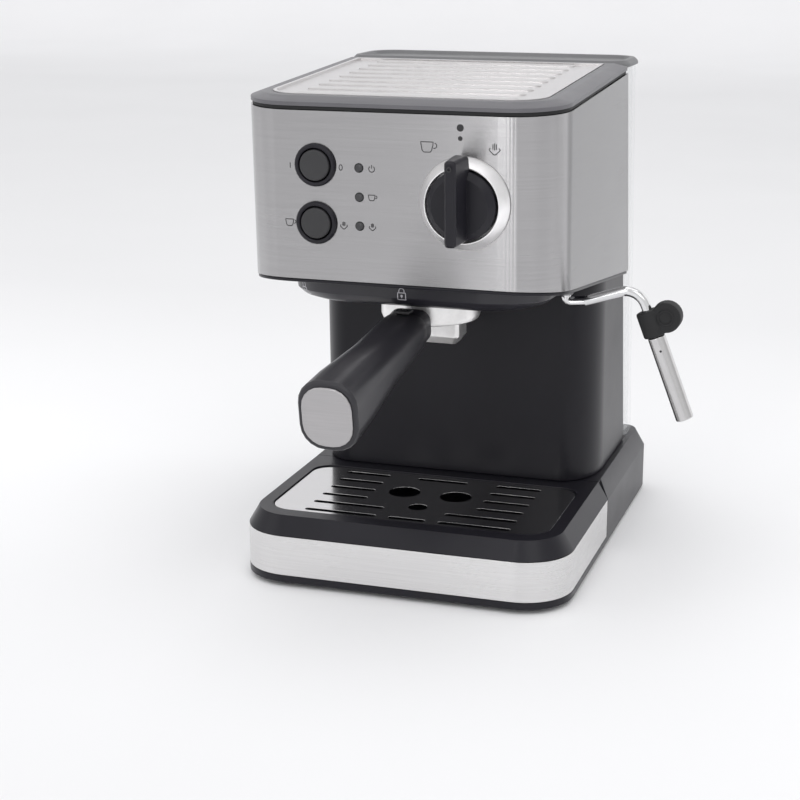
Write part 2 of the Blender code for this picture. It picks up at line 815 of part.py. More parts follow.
# --------------------------------------------------------------------- head
def build_head():
    wall = open_outline(
        HEAD_HALF_WIDTH, HEAD_FRONT, HEAD_BACK, HEAD_RADIUS, WRAP_THICKNESS,
    )
    wrap = add("head_wrap", loft([
        head_ring(wall, bottom_z, 0.0), head_ring(wall, top_z, 0.0),
    ]), STEEL)
    holes = []
    for index in range(2):
        holes.append(on_panel(
            cylinder(SWITCH_RADIUS + GAP, 0.02, 32), BUTTON_X,
            BUTTON_TOP_Z - BUTTON_PITCH * index, -0.01,
        ))
    for index in range(3):
        holes.append(on_panel(
            cylinder(LENS_RADIUS + GAP, 0.02, 16), LENS_X,
            LENS_TOP_Z - LENS_PITCH * index, -0.01,
        ))
    holes.append(on_panel(
        cylinder(SHAFT_RADIUS + 2 * GAP, 0.02, 20), KNOB_X, KNOB_Z, -0.01,
    ))
    cut(wrap, joined(*holes), "panel_holes")

    pan_outline = head_outline(0.0005)
    pan = add("head_pan", loft([
        head_ring(pan_outline, bottom_z, -GAP - PAN_THICKNESS),
        head_ring(pan_outline, bottom_z, -GAP),
    ]), BLACK)
    pan_holes = [
        moved(cylinder(COLLAR_RADIUS + 2 * GAP, 0.06), (0, GROUP_Y, 0.15)),
        moved(cylinder(WAND_STEM_RADIUS + GAP, 0.06, 20), (WAND_X, WAND_Y, 0.15)),
        block((0.10, 0.05, 0.06), (0.0, 0.178, 0.17)),
    ]
    cut(pan, joined(*pan_holes), "pan_holes")

    inner = HEAD_HALF_WIDTH - WRAP_THICKNESS - GAP
    back = [
        (-inner, HEAD_BACK - BACK_PLATE), (inner, HEAD_BACK - BACK_PLATE),
        (inner, HEAD_BACK), (-inner, HEAD_BACK),
    ]
    add("head_back", loft([
        head_ring(back, bottom_z, 0.0), head_ring(back, top_z, 0.0),
    ]), BLACK)

    gasket_outer = head_outline(GASKET_INSET)
    gasket_inner = head_outline(GASKET_INSET + GASKET_WIDTH)
    add("top_gasket", loft([
        head_ring(gasket_outer, top_z, GAP),
        head_ring(gasket_outer, top_z, GASKET_HEIGHT),
        head_ring(gasket_inner, top_z, GASKET_HEIGHT),
        head_ring(gasket_inner, top_z, GAP),
    ], closed=True), BLACK)

    low = GASKET_HEIGHT + GAP
    add("top_trim", loft([
        head_ring(head_outline(0.0), top_z, low),
        head_ring(head_outline(0.0), top_z, low + TRIM_WALL),
        head_ring(head_outline(TRIM_CHAMFER), top_z, low + TRIM_HEIGHT),
        head_ring(head_outline(TRIM_WIDTH), top_z, low + TRIM_HEIGHT),
        head_ring(head_outline(TRIM_WIDTH), top_z, low),
    ], closed=True), TRIM_GREY)

    tray_inset = TRIM_WIDTH + GAP
    lip = tray_inset + WARMER_LIP_WIDTH
    floor_top = low + TRIM_HEIGHT - WARMER_SET_DOWN
    warmer = add("warming_tray", loft([
        head_ring(head_outline(tray_inset), top_z, low),
        head_ring(head_outline(tray_inset), top_z, floor_top + WARMER_LIP),
        head_ring(head_outline(lip), top_z, floor_top + WARMER_LIP),
        head_ring(head_outline(lip), top_z, floor_top),
    ]), STEEL)
    ribs = []
    start = (HEAD_FRONT + HEAD_BACK) / 2 - RIB_PITCH * (RIB_COUNT - 1) / 2
    for index in range(RIB_COUNT):
        y = start + RIB_PITCH * index
        base = top_z(y) + floor_top
        low_ring = outline(
            RIB_HALF_LENGTH, y - RIB_HALF_WIDTH, y + RIB_HALF_WIDTH,
            RIB_HALF_WIDTH * 0.95, RIB_HALF_WIDTH * 0.95,
        )
        high_ring = outline(
            RIB_HALF_LENGTH, y - RIB_HALF_WIDTH, y + RIB_HALF_WIDTH,
            RIB_HALF_WIDTH * 0.95, RIB_HALF_WIDTH * 0.95, RIB_HALF_WIDTH * 0.4,
        )
        ribs.append(loft([
            level(low_ring, base - 0.001), level(low_ring, base + RIB_HEIGHT * 0.5),
            level(high_ring, base + RIB_HEIGHT),
        ]))
    cut(warmer, joined(*ribs), "warming_ribs", "UNION")


# --------------------------------------------------------------- control row
def build_controls():
    for index, label in enumerate(("power", "brew")):
        z = BUTTON_TOP_Z - BUTTON_PITCH * index
        well = BUTTON_RADIUS + 2 * GAP
        bezel = turned([
            (well, -SWITCH_DEPTH + 0.006), (0.0, -SWITCH_DEPTH + 0.006),
            (0.0, -SWITCH_DEPTH), (SWITCH_RADIUS, -SWITCH_DEPTH),
            (SWITCH_RADIUS, GAP), (BEZEL_RADIUS, GAP),
            (BEZEL_RADIUS, BEZEL_PROUD * 0.5), (BEZEL_RADIUS - 0.001, BEZEL_PROUD),
            (well + 0.0006, BEZEL_PROUD), (well, BEZEL_PROUD - 0.0006),
        ], 28)
        add(label + "_bezel", on_panel(bezel, BUTTON_X, z), BLACK)
        rear = -SWITCH_DEPTH + 0.006 + BUTTON_TRAVEL + 2 * GAP
        cap = turned([
            (0.0, rear), (BUTTON_RADIUS, rear),
            (BUTTON_RADIUS, BUTTON_PROUD - 0.0007),
            (BUTTON_RADIUS - 0.0007, BUTTON_PROUD), (0.0, BUTTON_PROUD - 0.0006),
        ], 32)
        pivot = Vector((BUTTON_X, panel_y(z), z))
        add(label + "_button", on_panel(cap, BUTTON_X, z), BUTTON_BLACK, pivot)
    for index, label in enumerate(("power", "brew", "steam")):
        z = LENS_TOP_Z - LENS_PITCH * index
        lens = turned([
            (0.0, -0.008), (LENS_RADIUS, -0.008), (LENS_RADIUS, 0.0003),
            (LENS_RADIUS * 0.75, 0.0009), (0.0, 0.0011),
        ], 16)
        add(label + "_light", on_panel(lens, LENS_X, z), LENS)

    ring = turned([
        (RING_HOLE, GAP), (RING_RADIUS, GAP), (RING_RADIUS, RING_EDGE),
        (RING_HOLE + RING_EDGE, RING_HEIGHT), (RING_HOLE, RING_HEIGHT - RING_EDGE),
    ], 40)
    add("knob_ring", on_panel(ring, KNOB_X, KNOB_Z), STEEL)

    pivot = Vector((KNOB_X, panel_y(KNOB_Z), KNOB_Z))
    front = KNOB_STANDOFF + KNOB_DEPTH
    disc = turned([
        (0.0, KNOB_STANDOFF), (KNOB_RADIUS, KNOB_STANDOFF),
        (KNOB_RADIUS, front - KNOB_CHAMFER),
        (KNOB_RADIUS - KNOB_CHAMFER, front), (0.0, front),
    ], 48)
    knob = add("steam_knob", on_panel(disc, KNOB_X, KNOB_Z), BLACK, pivot)
    rings = []
    for lift, half_width, half_length, rise in (
        (RING_HEIGHT, KNOB_BAR_HALF_WIDTH * 1.5, KNOB_RADIUS * 0.96, 0.0),
        (RING_HEIGHT + 2 * RING_EDGE, KNOB_BAR_HALF_WIDTH * 1.4,
         KNOB_BAR_HALF_LENGTH, KNOB_BAR_RISE),
        (front + KNOB_BAR_DEPTH - 0.0015, KNOB_BAR_HALF_WIDTH, KNOB_BAR_HALF_LENGTH,
         KNOB_BAR_RISE),
        (front + KNOB_BAR_DEPTH, KNOB_BAR_HALF_WIDTH - 0.0012,
         KNOB_BAR_HALF_LENGTH - 0.0012, KNOB_BAR_RISE),
    ):
        rings.append([
            Vector((x, y + rise, lift)) for x, y in rounded_section(
                2 * half_width, 2 * half_length, min(0.002, half_width * 0.8), 3,
            )
        ])
    cut(knob, on_panel(loft(rings), KNOB_X, KNOB_Z), "knob_bar", "UNION")

    shaft = cylinder(SHAFT_RADIUS, SHAFT_LENGTH + KNOB_STANDOFF - GAP, 20)
    add("knob_shaft", on_panel(
        shaft, KNOB_X, KNOB_Z, -SHAFT_LENGTH,
    ), STEEL, pivot)
    valve_front = panel_y(KNOB_Z) + SHAFT_LENGTH + 2 * GAP
    add("steam_valve", block(
        (VALVE_SIZE, VALVE_SIZE, VALVE_SIZE),
        (KNOB_X, valve_front + VALVE_SIZE / 2, KNOB_Z - 0.001), 0.002,
    ), BRASS)
    board_y = panel_y(BUTTON_TOP_Z - BUTTON_PITCH) + SWITCH_DEPTH + 0.0020
    add("control_board", block(
        (0.066, 0.0016, 0.050),
        (BUTTON_X + 0.006, board_y - 0.0006, BUTTON_TOP_Z - BUTTON_PITCH / 2 + 0.006),
    ), BOARD)


# ------------------------------------------------------------- brewing group
def shroud_ring(inset, height, tuck=0.0):
    """Bowl outline; tuck draws the front and sides in, the back stays."""
    return level(outline(
        SHROUD_HALF_WIDTH - tuck, SHROUD_FRONT + tuck, SHROUD_BACK,
        SHROUD_RADIUS - tuck * 0.6, 0.008, inset,
    ), height)


def build_group():
    def roof(y):
        return bottom_z(y) - PAN_THICKNESS - 2 * GAP

    floor_top = SHROUD_BOTTOM + SHROUD_WALL

    def part_way(share):
        return lambda y: SHROUD_BOTTOM + share * (roof(y) - SHROUD_BOTTOM)

    shroud = add("group_shroud", loft([
        shroud_ring(SHROUD_WALL, floor_top, SHROUD_TUCK),
        shroud_ring(SHROUD_WALL, roof),
        shroud_ring(0.0, roof),
        shroud_ring(0.0, part_way(0.45), 0.0008),
        shroud_ring(0.0, part_way(0.18), SHROUD_TUCK * 0.42),
        shroud_ring(0.0, SHROUD_BOTTOM, SHROUD_TUCK),
    ]), SHROUD_BLACK)
    cut(shroud, moved(
        cylinder(COLLAR_RADIUS + 3 * GAP, 0.04), (0.0, GROUP_Y, 0.150),
    ), "shroud_opening")

    head = add("group_head", moved(turned([
        (0.0, GROUP_TOP), (COLLAR_RADIUS, GROUP_TOP),
        (COLLAR_RADIUS, COLLAR_BOTTOM), (COLLAR_FLANGE, COLLAR_BOTTOM),
        (COLLAR_FLANGE, COLLAR_BOTTOM + 0.0011),
        (COLLAR_GROOVE, COLLAR_BOTTOM + 0.0011),
        (COLLAR_GROOVE, COLLAR_CEILING), (0.0, COLLAR_CEILING),
    ]), GROUP_AXIS), CAST)
    gates = []
    for side in (0.0, 180.0):
        middle = side + HANDLE_REST_ANGLE - UNLOCK_ANGLE
        gates.append(moved(wedge(
            COLLAR_FLANGE - 0.002, COLLAR_GROOVE - 0.0001, middle,
            LUG_HALF_ANGLE + 4.0, COLLAR_BOTTOM - 0.001, COLLAR_BOTTOM + 0.0021,
        ), GROUP_AXIS))
    cut(head, joined(*gates), "bayonet_gates")

    add("group_seal", moved(turned([
        (0.0258, COLLAR_CEILING - 0.0032), (0.0321, COLLAR_CEILING - 0.0032),
        (0.0321, COLLAR_CEILING - GAP), (0.0258, COLLAR_CEILING - GAP),
    ]), GROUP_AXIS), RUBBER)
    add("shower_screen", moved(turned([
        (0.0034, COLLAR_CEILING - 0.0022), (0.0240, COLLAR_CEILING - 0.0018),
        (0.0240, COLLAR_CEILING - GAP), (0.0034, COLLAR_CEILING - GAP),
    ]), GROUP_AXIS), STEEL)
    add("screen_screw", moved(turned([
        (0.0, COLLAR_CEILING - 0.0038), (0.0045, COLLAR_CEILING - 0.0032),
        (0.0045, COLLAR_CEILING - 0.0026), (0.0030, COLLAR_CEILING - 0.0026),
        (0.0030, COLLAR_CEILING - GAP), (0.0, COLLAR_CEILING - GAP),
    ], 20), GROUP_AXIS), STEEL)
    add("boiler", moved(turned([
        (0.0, GROUP_TOP + GAP), (BOILER_RADIUS, GROUP_TOP + GAP),
        (BOILER_RADIUS, GROUP_TOP + BOILER_HEIGHT - 0.004),
        (BOILER_RADIUS - 0.004, GROUP_TOP + BOILER_HEIGHT),
        (0.0, GROUP_TOP + BOILER_HEIGHT),
    ]), GROUP_AXIS), CAST)


def wedge(inner, outer, middle, half_angle, z0, z1, steps=6):
    """Annular sector about the Z axis."""
    points = []
    for radius, way in ((inner, 1), (outer, -1)):
        for step in range(steps + 1):
            share = way * (2.0 * step / steps - 1.0)
            turn = math.radians(middle - half_angle * share)
            points.append((radius * math.cos(turn), radius * math.sin(turn)))
    return loft([level(points, z0), level(points, z1)])


def build_portafilter():
    pivot = empty("portafilter_pivot", GROUP_AXIS, ROOT)
    pivot.rotation_euler = (0.0, 0.0, math.radians(HANDLE_REST_ANGLE))
    ring_top = COLLAR_BOTTOM - 0.0004
    bowl = add("portafilter_body", turned([
        (0.0, BOWL_BOTTOM), (BOWL_RADIUS - 0.0035, BOWL_BOTTOM),
        (BOWL_RADIUS - 0.0010, BOWL_BOTTOM + 0.0010),
        (BOWL_RADIUS, BOWL_BOTTOM + 0.0035), (BOWL_RADIUS, ring_top),
        (COLLAR_FLANGE - 0.0006, ring_top),
        (COLLAR_FLANGE - 0.0006, BASKET_SEAT), (BOWL_BORE, BASKET_SEAT),
        (BOWL_BORE, BOWL_BOTTOM + 0.0055), (0.0, BOWL_BOTTOM + 0.0035),
    ]), CAST, None, pivot)
    lugs = [
        wedge(COLLAR_FLANGE - 0.0026, LUG_RADIUS, side, LUG_HALF_ANGLE,
              LUG_BOTTOM, LUG_TOP)
        for side in (0.0, 180.0)
    ]
    cut(bowl, joined(*lugs), "bayonet_lugs", "UNION")
    drains = [
        moved(cylinder(0.0022, 0.012, 12), (side * 0.010, 0.0, BOWL_BOTTOM - 0.002))
        for side in (-1, 1)
    ]
    cut(bowl, joined(*drains), "bowl_drains")
    wall = 0.0008
    seat = BASKET_SEAT + GAP
    add("filter_basket", turned([
        (0.0, BOWL_BOTTOM + 0.0068), (0.0244, BOWL_BOTTOM + 0.0068),
        (0.0256, seat), (0.0288, seat), (0.0288, seat + wall),
        (0.0256 - wall, seat + wall), (0.0244 - wall, BOWL_BOTTOM + 0.0076),
        (0.0, BOWL_BOTTOM + 0.0076),
    ]), STEEL, None, pivot)

    spout_top = BOWL_BOTTOM - GAP
    spout = add("spout", loft([
        level(outline(SPOUT_HALF_WIDTH - 0.003, -SPOUT_HALF_DEPTH + 0.003,
                      SPOUT_HALF_DEPTH - 0.003, 0.002, 0.002),
              spout_top - SPOUT_HEIGHT),
        level(outline(SPOUT_HALF_WIDTH, -SPOUT_HALF_DEPTH, SPOUT_HALF_DEPTH,
                      0.0025, 0.0025), spout_top - SPOUT_HEIGHT * 0.65),
        level(outline(SPOUT_HALF_WIDTH, -SPOUT_HALF_DEPTH, SPOUT_HALF_DEPTH,
                      0.0025, 0.0025), spout_top),
    ]), CAST, None, pivot)
    outlets = [
        moved(cylinder(0.0032, 0.02, 16), (side * 0.010, 0.0, spout_top - 0.012))
        for side in (-1, 1)
    ]
    cut(spout, joined(*outlets), "spout_outlets")

    def along(reach):
        """Handle axis, falling away from the bowl."""
        share = (reach - HANDLE_START) / (HANDLE_END - HANDLE_START)
        return Vector((
            0.0, -reach,
            HANDLE_START_Z + share * (HANDLE_END_Z - HANDLE_START_Z),
        ))

    droop = math.atan2(
        HANDLE_START_Z - HANDLE_END_Z, HANDLE_END - HANDLE_START,
    )

    def section(reach, width, height, corner):
        points = []
        for x, z in rounded_section(width, height, corner):
            points.append(along(reach) + Vector((
                x, -z * math.sin(droop), z * math.cos(droop),
            )))
        return points

    start = HANDLE_START
    add("handle", loft([
        section(start, NECK_WIDTH, NECK_HEIGHT, NECK_CORNER),
        section(start + NECK_LENGTH, NECK_WIDTH, NECK_HEIGHT, NECK_CORNER),
        section(start + NECK_LENGTH + 0.8 * SLEEVE_EASE,
                SLEEVE_WIDTH - SLEEVE_EASE, SLEEVE_HEIGHT - SLEEVE_EASE,
                SLEEVE_CORNER - SLEEVE_EASE),
        section(start + NECK_LENGTH + 2 * SLEEVE_EASE, SLEEVE_WIDTH,
                SLEEVE_HEIGHT, SLEEVE_CORNER),
        section(start + SLEEVE_END, SLEEVE_WIDTH, SLEEVE_HEIGHT, SLEEVE_CORNER),
        *(
            section(start + reach, HANDLE_WIDTH * wide, HANDLE_HEIGHT * high, corner)
            for reach, wide, high, corner in HANDLE_SWELL
        ),
        *(
            section(HANDLE_END - back, HANDLE_WIDTH * wide,
                    HANDLE_HEIGHT * high, corner)
            for back, wide, high, corner in HANDLE_FLARE
        ),
        section(HANDLE_END, HANDLE_WIDTH - HANDLE_EASE,
                HANDLE_HEIGHT - HANDLE_EASE, HANDLE_CORNER - HANDLE_EASE / 2),
    ]), HANDLE_BLACK, None, pivot)
    out = Vector((0.0, -math.cos(droop), -math.sin(droop)))
    plate = [
        [point + out * lift for point in section(HANDLE_END, CAP_WIDTH - trim,
                                                 CAP_HEIGHT - trim, CAP_CORNER)]
        for lift, trim in (
            (GAP, 0.0), (CAP_THICKNESS * 0.6, 0.0), (CAP_THICKNESS, CAP_EASE),
        )
    ]
    add("handle_cap", loft(plate), STEEL, None, pivot)
    clip_reach = start + CLIP_REACH
    clip_low = along(clip_reach).z + HANDLE_HEIGHT * CLIP_PLACE + CLIP_LIFT
    clip = block(
        (CLIP_WIDTH, CLIP_LENGTH, CLIP_THICKNESS),
        (0.0, -clip_reach, clip_low + CLIP_THICKNESS / 2),
    )
    add("basket_clip", clip, STEEL, None, pivot)


# -------------------------------------------------------------------- tank
def tank_ring(inset, at_top, lift=0.0):
    """Plan of the tank: its front follows the leaning back of the machine."""
    if at_top:
        z = top_z(HEAD_BACK) + TANK_RISE + lift
        front = leaned(HEAD_BACK, z) + TANK_FRONT_GAP + 0.0004
        back = TANK_TOP_BACK
    else:
        z = FRAME_TOP + 2 * GAP + lift
        front = leaned(HEAD_BACK, z) + TANK_FRONT_GAP
        back = TANK_BOTTOM_BACK
    front_radius = min(0.003, TANK_RADIUS)
    radius = min(TANK_RADIUS, (back - front) * 0.45)
    return level(outline(
        TANK_HALF_WIDTH, front, back, front_radius, radius, inset,
    ), z)


def build_tank():
    low = FRAME_TOP + 2 * GAP
    pivot = Vector((0.0, (HEAD_BACK + TANK_TOP_BACK) / 2, low))
    add("water_tank", loft([
        tank_ring(0.0, False), tank_ring(0.0, True),
        tank_ring(TANK_WALL, True), tank_ring(TANK_WALL, False, TANK_WALL),
    ]), CLEAR, pivot)

    rim = top_z(HEAD_BACK) + TANK_RISE
    front = leaned(HEAD_BACK, rim) + TANK_FRONT_GAP - LID_OVERHANG
    back = TANK_TOP_BACK + LID_OVERHANG
    hinge = Vector((0.0, back, rim + GAP))

    def lid_ring(inset, height):
        return level(outline(
            TANK_HALF_WIDTH + LID_OVERHANG, front, back, LID_CORNER, TANK_RADIUS,
            inset,
        ), height)

    add("tank_lid", loft([
        lid_ring(0.0, rim + GAP),
        lid_ring(0.0, rim + GAP + LID_HEIGHT - LID_CHAMFER),
        lid_ring(LID_CHAMFER, rim + GAP + LID_HEIGHT),
        lid_ring(LID_POCKET_INSET - 0.002, rim + GAP + LID_HEIGHT),
        lid_ring(LID_POCKET_INSET, rim + GAP + LID_HEIGHT - LID_POCKET_DEPTH),
    ]), LID_GREY, hinge)


# --------------------------------------------------------------- steam wand
def build_wand():
    pivot = Vector((WAND_X, WAND_Y, WAND_SOCKET_BOTTOM))
    roof = bottom_z(WAND_Y) - PAN_THICKNESS
    stem_top = bottom_z(WAND_Y) + 0.004
    seat = roof - 0.0022
    socket = turned([
        (0.0, WAND_SOCKET_BOTTOM), (WAND_SOCKET_RADIUS * 0.8, WAND_SOCKET_BOTTOM),
        (WAND_SOCKET_RADIUS, WAND_SOCKET_BOTTOM + 0.0012),
        (WAND_SOCKET_RADIUS, seat), (WAND_STEM_RADIUS - GAP, seat),
        (WAND_STEM_RADIUS - GAP, stem_top), (0.0, stem_top),
    ], 24)
    add("wand_socket", moved(socket, (WAND_X, WAND_Y, 0.0)), STEEL)

    crest = Vector((WAND_CREST_X, WAND_Y, WAND_CREST_Z))
    tip = Vector((WAND_TIP_X, WAND_Y, WAND_TIP_Z))
    way = (tip - crest).normalized()
    tube_end = tip - way * 0.012
    path = filleted([
        Vector((WAND_X, WAND_Y, WAND_SOCKET_BOTTOM - GAP)),
        Vector((WAND_X, WAND_Y, WAND_LOW_Z)),
        Vector((WAND_X + 0.0110, WAND_Y, WAND_LOW_Z + 0.0010)),
        crest,
        tube_end,
    ], (WAND_BEND, WAND_BEND, WAND_CREST_BEND))
    add("steam_tube", swept(path, WAND_TUBE_RADIUS), CHROME, pivot)

    tilt = Vector((0.0, 0.0, 1.0)).rotation_difference(way).to_matrix()
    sleeve_start = tip - way * SLEEVE_LENGTH
    bore = WAND_TUBE_RADIUS + GAP
    sleeve = turned([
        (bore, 0.0), (SLEEVE_RADIUS - 0.0005, 0.0), (SLEEVE_RADIUS, 0.0005),
        (SLEEVE_RADIUS, SLEEVE_LENGTH - 0.0005),
        (SLEEVE_RADIUS - 0.0005, SLEEVE_LENGTH), (bore, SLEEVE_LENGTH),
    ], 24)
    add("froth_sleeve", moved(sleeve, sleeve_start, tilt), STEEL, pivot)

    grip_end = sleeve_start - way * GAP
    grip_start = grip_end - way * GRIP_LENGTH
    grip = add("wand_grip", moved(
        cylinder(GRIP_RADIUS, GRIP_LENGTH, 24, 0.0012), grip_start, tilt,
    ), RUBBER, pivot)
    side = Vector((-way.z, 0.0, way.x))
    middle = grip_start + way * (GRIP_LENGTH * THUMB_PLACE)
    thumb_centre = middle + side * THUMB_REACH
    turn_y = Matrix.Rotation(math.radians(90.0), 3, "X")
    thumb = moved(
        cylinder(THUMB_RADIUS, THUMB_DEPTH, 24, 0.001),
        thumb_centre + Vector((0.0, THUMB_DEPTH / 2, 0.0)), turn_y,
    )
    cut(grip, thumb, "thumb_disc", "UNION")
    web = block((THUMB_REACH, THUMB_DEPTH * 0.8, GRIP_LENGTH * 0.84), (0, 0, 0))
    web_turn = Vector((1.0, 0.0, 0.0)).rotation_difference(side).to_matrix()
    cut(grip, moved(web, (middle + thumb_centre) / 2, web_turn), "thumb_web", "UNION")
    cut(grip, moved(
        cylinder(bore, GRIP_LENGTH * 1.4, 16),
        grip_start - way * GRIP_LENGTH * 0.2, tilt,
    ), "grip_bore")


# ------------------------------------------------------------------- piping
def build_pipes():
    pipe = 0.0020
    boiler_top = GROUP_TOP + BOILER_HEIGHT
    pump_top = PUMP_Z + PUMP_RADIUS
    add("pressure_pipe", swept(filleted([
        Vector((0.020, PUMP_Y, pump_top + GAP)),
        Vector((0.020, PUMP_Y, boiler_top + 0.012)),
        Vector((0.0, GROUP_Y, boiler_top + 0.012)),
        Vector((0.0, GROUP_Y, boiler_top + GAP)),
    ], 0.006), pipe, 8), CLEAR_HOSE)
    valve_y = panel_y(KNOB_Z) + SHAFT_LENGTH + 2 * GAP + VALVE_SIZE / 2
    side = KNOB_X + VALVE_SIZE / 2 + GAP
    add("steam_pipe", swept(filleted([
        Vector((side, valve_y, KNOB_Z)),
        Vector((WAND_X, valve_y, KNOB_Z)),
        Vector((WAND_X, WAND_Y, KNOB_Z - 0.020)),
        Vector((WAND_X, WAND_Y, bottom_z(WAND_Y) + 0.004 + 2 * GAP)),
    ], 0.005), pipe, 8), COPPER)
    inlet_low = FRAME_TOP - 0.0072 - GAP
    add("feed_hose", swept(filleted([
        Vector((INLET_X, INLET_Y, inlet_low)),
        Vector((INLET_X, INLET_Y, FOOT_HEIGHT + 0.012)),
        Vector((INLET_X, PUMP_Y + 0.02, FOOT_HEIGHT + 0.012)),
        Vector((INLET_X, PUMP_Y + 0.02, FRAME_TOP - HOUSING_WALL - 0.001)),
    ], 0.006), 0.0030, 8), CLEAR_HOSE)


clear_scene()
BLACK = material("black_abs", (0.030, 0.029, 0.033), 0.42, 0.0)
SHROUD_BLACK = material("shroud_abs", (0.032, 0.030, 0.038), 0.35, 0.0)
BUTTON_BLACK = material("button_abs", (0.040, 0.040, 0.042), 0.38, 0.0)
HANDLE_BLACK = material("handle_phenolic", (0.040, 0.038, 0.044), 0.45, 0.0)
TRIM_GREY = material("trim_abs", (0.090, 0.088, 0.095), 0.40, 0.0)
LID_GREY = material("lid_abs", (0.120, 0.120, 0.122), 0.38, 0.0)
GREY_PLASTIC = material("grey_nylon", (0.300, 0.300, 0.310), 0.55, 0.0)
RUBBER = material("black_rubber", (0.018, 0.018, 0.019), 0.75, 0.0)
STEEL = material("brushed_steel", (0.560, 0.555, 0.550), 0.30, 1.0)
CHROME = material("polished_chrome", (0.750, 0.750, 0.760), 0.08, 1.0)
CAST = material("cast_aluminium", (0.620, 0.615, 0.610), 0.38, 1.0)
BRASS = material("brass", (0.640, 0.480, 0.220), 0.35, 1.0)
COPPER = material("copper", (0.700, 0.380, 0.250), 0.30, 1.0)
CLEAR = material("clear_san", (0.900, 0.910, 0.920), 0.05, 0.0)
CLEAR_HOSE = material("silicone_hose", (0.700, 0.700, 0.680), 0.45, 0.0)
LENS = material("light_lens", (0.050, 0.048, 0.050), 0.20, 0.0)
BOARD = material("circuit_board", (0.050, 0.200, 0.090), 0.55, 0.0)
CUTTER = material("cutter", (0.800, 0.100, 0.100), 0.50, 0.0)
ROOT = empty("espresso_machine", ORIGIN)

build_base()
build_tray()
build_column()
build_head()
build_controls()
build_group()
build_portafilter()
build_tank()
build_wand()
build_pipes()
bpy.context.view_layer.update()
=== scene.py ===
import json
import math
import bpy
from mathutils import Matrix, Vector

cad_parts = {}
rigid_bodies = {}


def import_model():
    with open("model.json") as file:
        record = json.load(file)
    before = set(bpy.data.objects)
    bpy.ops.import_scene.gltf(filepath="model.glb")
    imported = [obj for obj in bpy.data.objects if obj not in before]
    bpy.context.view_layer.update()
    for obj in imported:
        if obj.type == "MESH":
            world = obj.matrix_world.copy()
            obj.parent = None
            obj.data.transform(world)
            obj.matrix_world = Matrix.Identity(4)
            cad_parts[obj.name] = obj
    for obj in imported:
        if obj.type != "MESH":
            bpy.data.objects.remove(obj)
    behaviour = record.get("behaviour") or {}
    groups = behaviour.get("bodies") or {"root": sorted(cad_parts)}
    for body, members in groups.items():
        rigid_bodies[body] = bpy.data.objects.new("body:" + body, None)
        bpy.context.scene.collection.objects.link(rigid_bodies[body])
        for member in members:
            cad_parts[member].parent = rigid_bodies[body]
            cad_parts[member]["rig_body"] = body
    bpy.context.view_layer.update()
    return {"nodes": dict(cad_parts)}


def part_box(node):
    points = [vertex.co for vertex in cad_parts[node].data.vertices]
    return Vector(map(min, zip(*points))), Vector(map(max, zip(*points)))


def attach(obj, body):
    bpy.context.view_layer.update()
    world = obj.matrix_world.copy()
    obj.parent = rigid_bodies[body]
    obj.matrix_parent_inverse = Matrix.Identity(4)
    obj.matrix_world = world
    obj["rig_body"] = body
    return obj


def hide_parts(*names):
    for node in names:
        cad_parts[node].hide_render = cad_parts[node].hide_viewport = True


bl_info = {
    "name": "Espresso machine",
    "version": (1, 0, 0),
    "blender": (4, 5, 0),
    "location": "3D Viewport > Sidebar > Espresso",
    "description": "Dresses the espresso machine's frame with finished parts",
    "category": "Add Mesh",
}

import bmesh
import bpy
from bpy.props import FloatProperty, IntProperty, PointerProperty, StringProperty
from mathutils import Matrix, Vector
from mathutils.bvhtree import BVHTree

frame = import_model()

MM = 0.001
BASE_LOW, BASE_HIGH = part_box("base_housing")
# middle of the base at its front edge, on the worktop
DATUM = Vector(((BASE_LOW.x + BASE_HIGH.x) / 2, BASE_LOW.y, 0.0))
RIGHTWARDS = Vector((1.0, 0.0, 0.0))
TOWARDS_PANEL = Vector((0.0, 1.0, 0.0))
UP = Vector((0.0, 0.0, 1.0))

MERGE_DISTANCE = 2e-5
FLAT_ANGLE = math.radians(0.7)
SHARP_ANGLE = math.radians(31.0)
# pressed ribs keep their creases
CREASE_ANGLE = math.radians(4.0)

# ---------------------------------------------------- small parts, millimetres
# profiles are (radius, height) pairs
RING_PROFILE = (
    (20.2, 0.3), (25.5, 0.3), (25.5, 0.7), (25.2, 1.2), (21.5, 7.1), (21.1, 7.5),
    (20.7, 7.5), (20.2, 7.0),
)
POINTER_PROFILE = (
    (0.9, -0.1), (1.4, -0.1), (1.4, 0.12), (1.15, 0.2), (0.9, 0.12),
)
THUMB_RIM_PROFILE = (
    (3.4, -0.2), (4.8, -0.2), (4.8, 0.3), (4.5, 0.6), (3.7, 0.6), (3.4, 0.3),
)
# a thin dark disc on the froth sleeve, painted shade standing in for the inside of
# its air hole
AIR_HOLE_SHADE_PROFILE = ((0.0, -0.3), (0.7, -0.3), (0.7, 0.02), (0.0, 0.02))
# with a round recess for the driver in the middle of the head
SCREW_PROFILE = (
    (0.0, 1.0), (1.5, 1.0), (1.5, 2.0), (3.0, 1.8), (3.8, 1.1), (3.8, -0.2),
    (0.0, -0.2),
)
KNOB_PLACE = (40.8, 234.5)
POINTER_REACH = 23.5
THUMB_DISC_RADIUS = 8.8
THUMB_DISC_AHEAD = 5.0
SLEEVE_RADIUS = 5.1
AIR_HOLE_SHARE = 0.82
SCREW_ASIDE = 50.0
SCREW_INSET = 13.0
PLATE_SIZE = (56.0, 34.0, 0.5)
LEVEL_LINE_HEIGHTS = (75.0, 262.0)
LEVEL_LINE = [([(-9.0, 0.0), (9.0, 0.0)], False, 0.9)]

# --------------------------------------------------------------- stage, metres
FLOOR_REACH = 4.0
COVE_RADIUS = 1.5
COVE_STEPS = 12
WALL_HEIGHT = 3.0
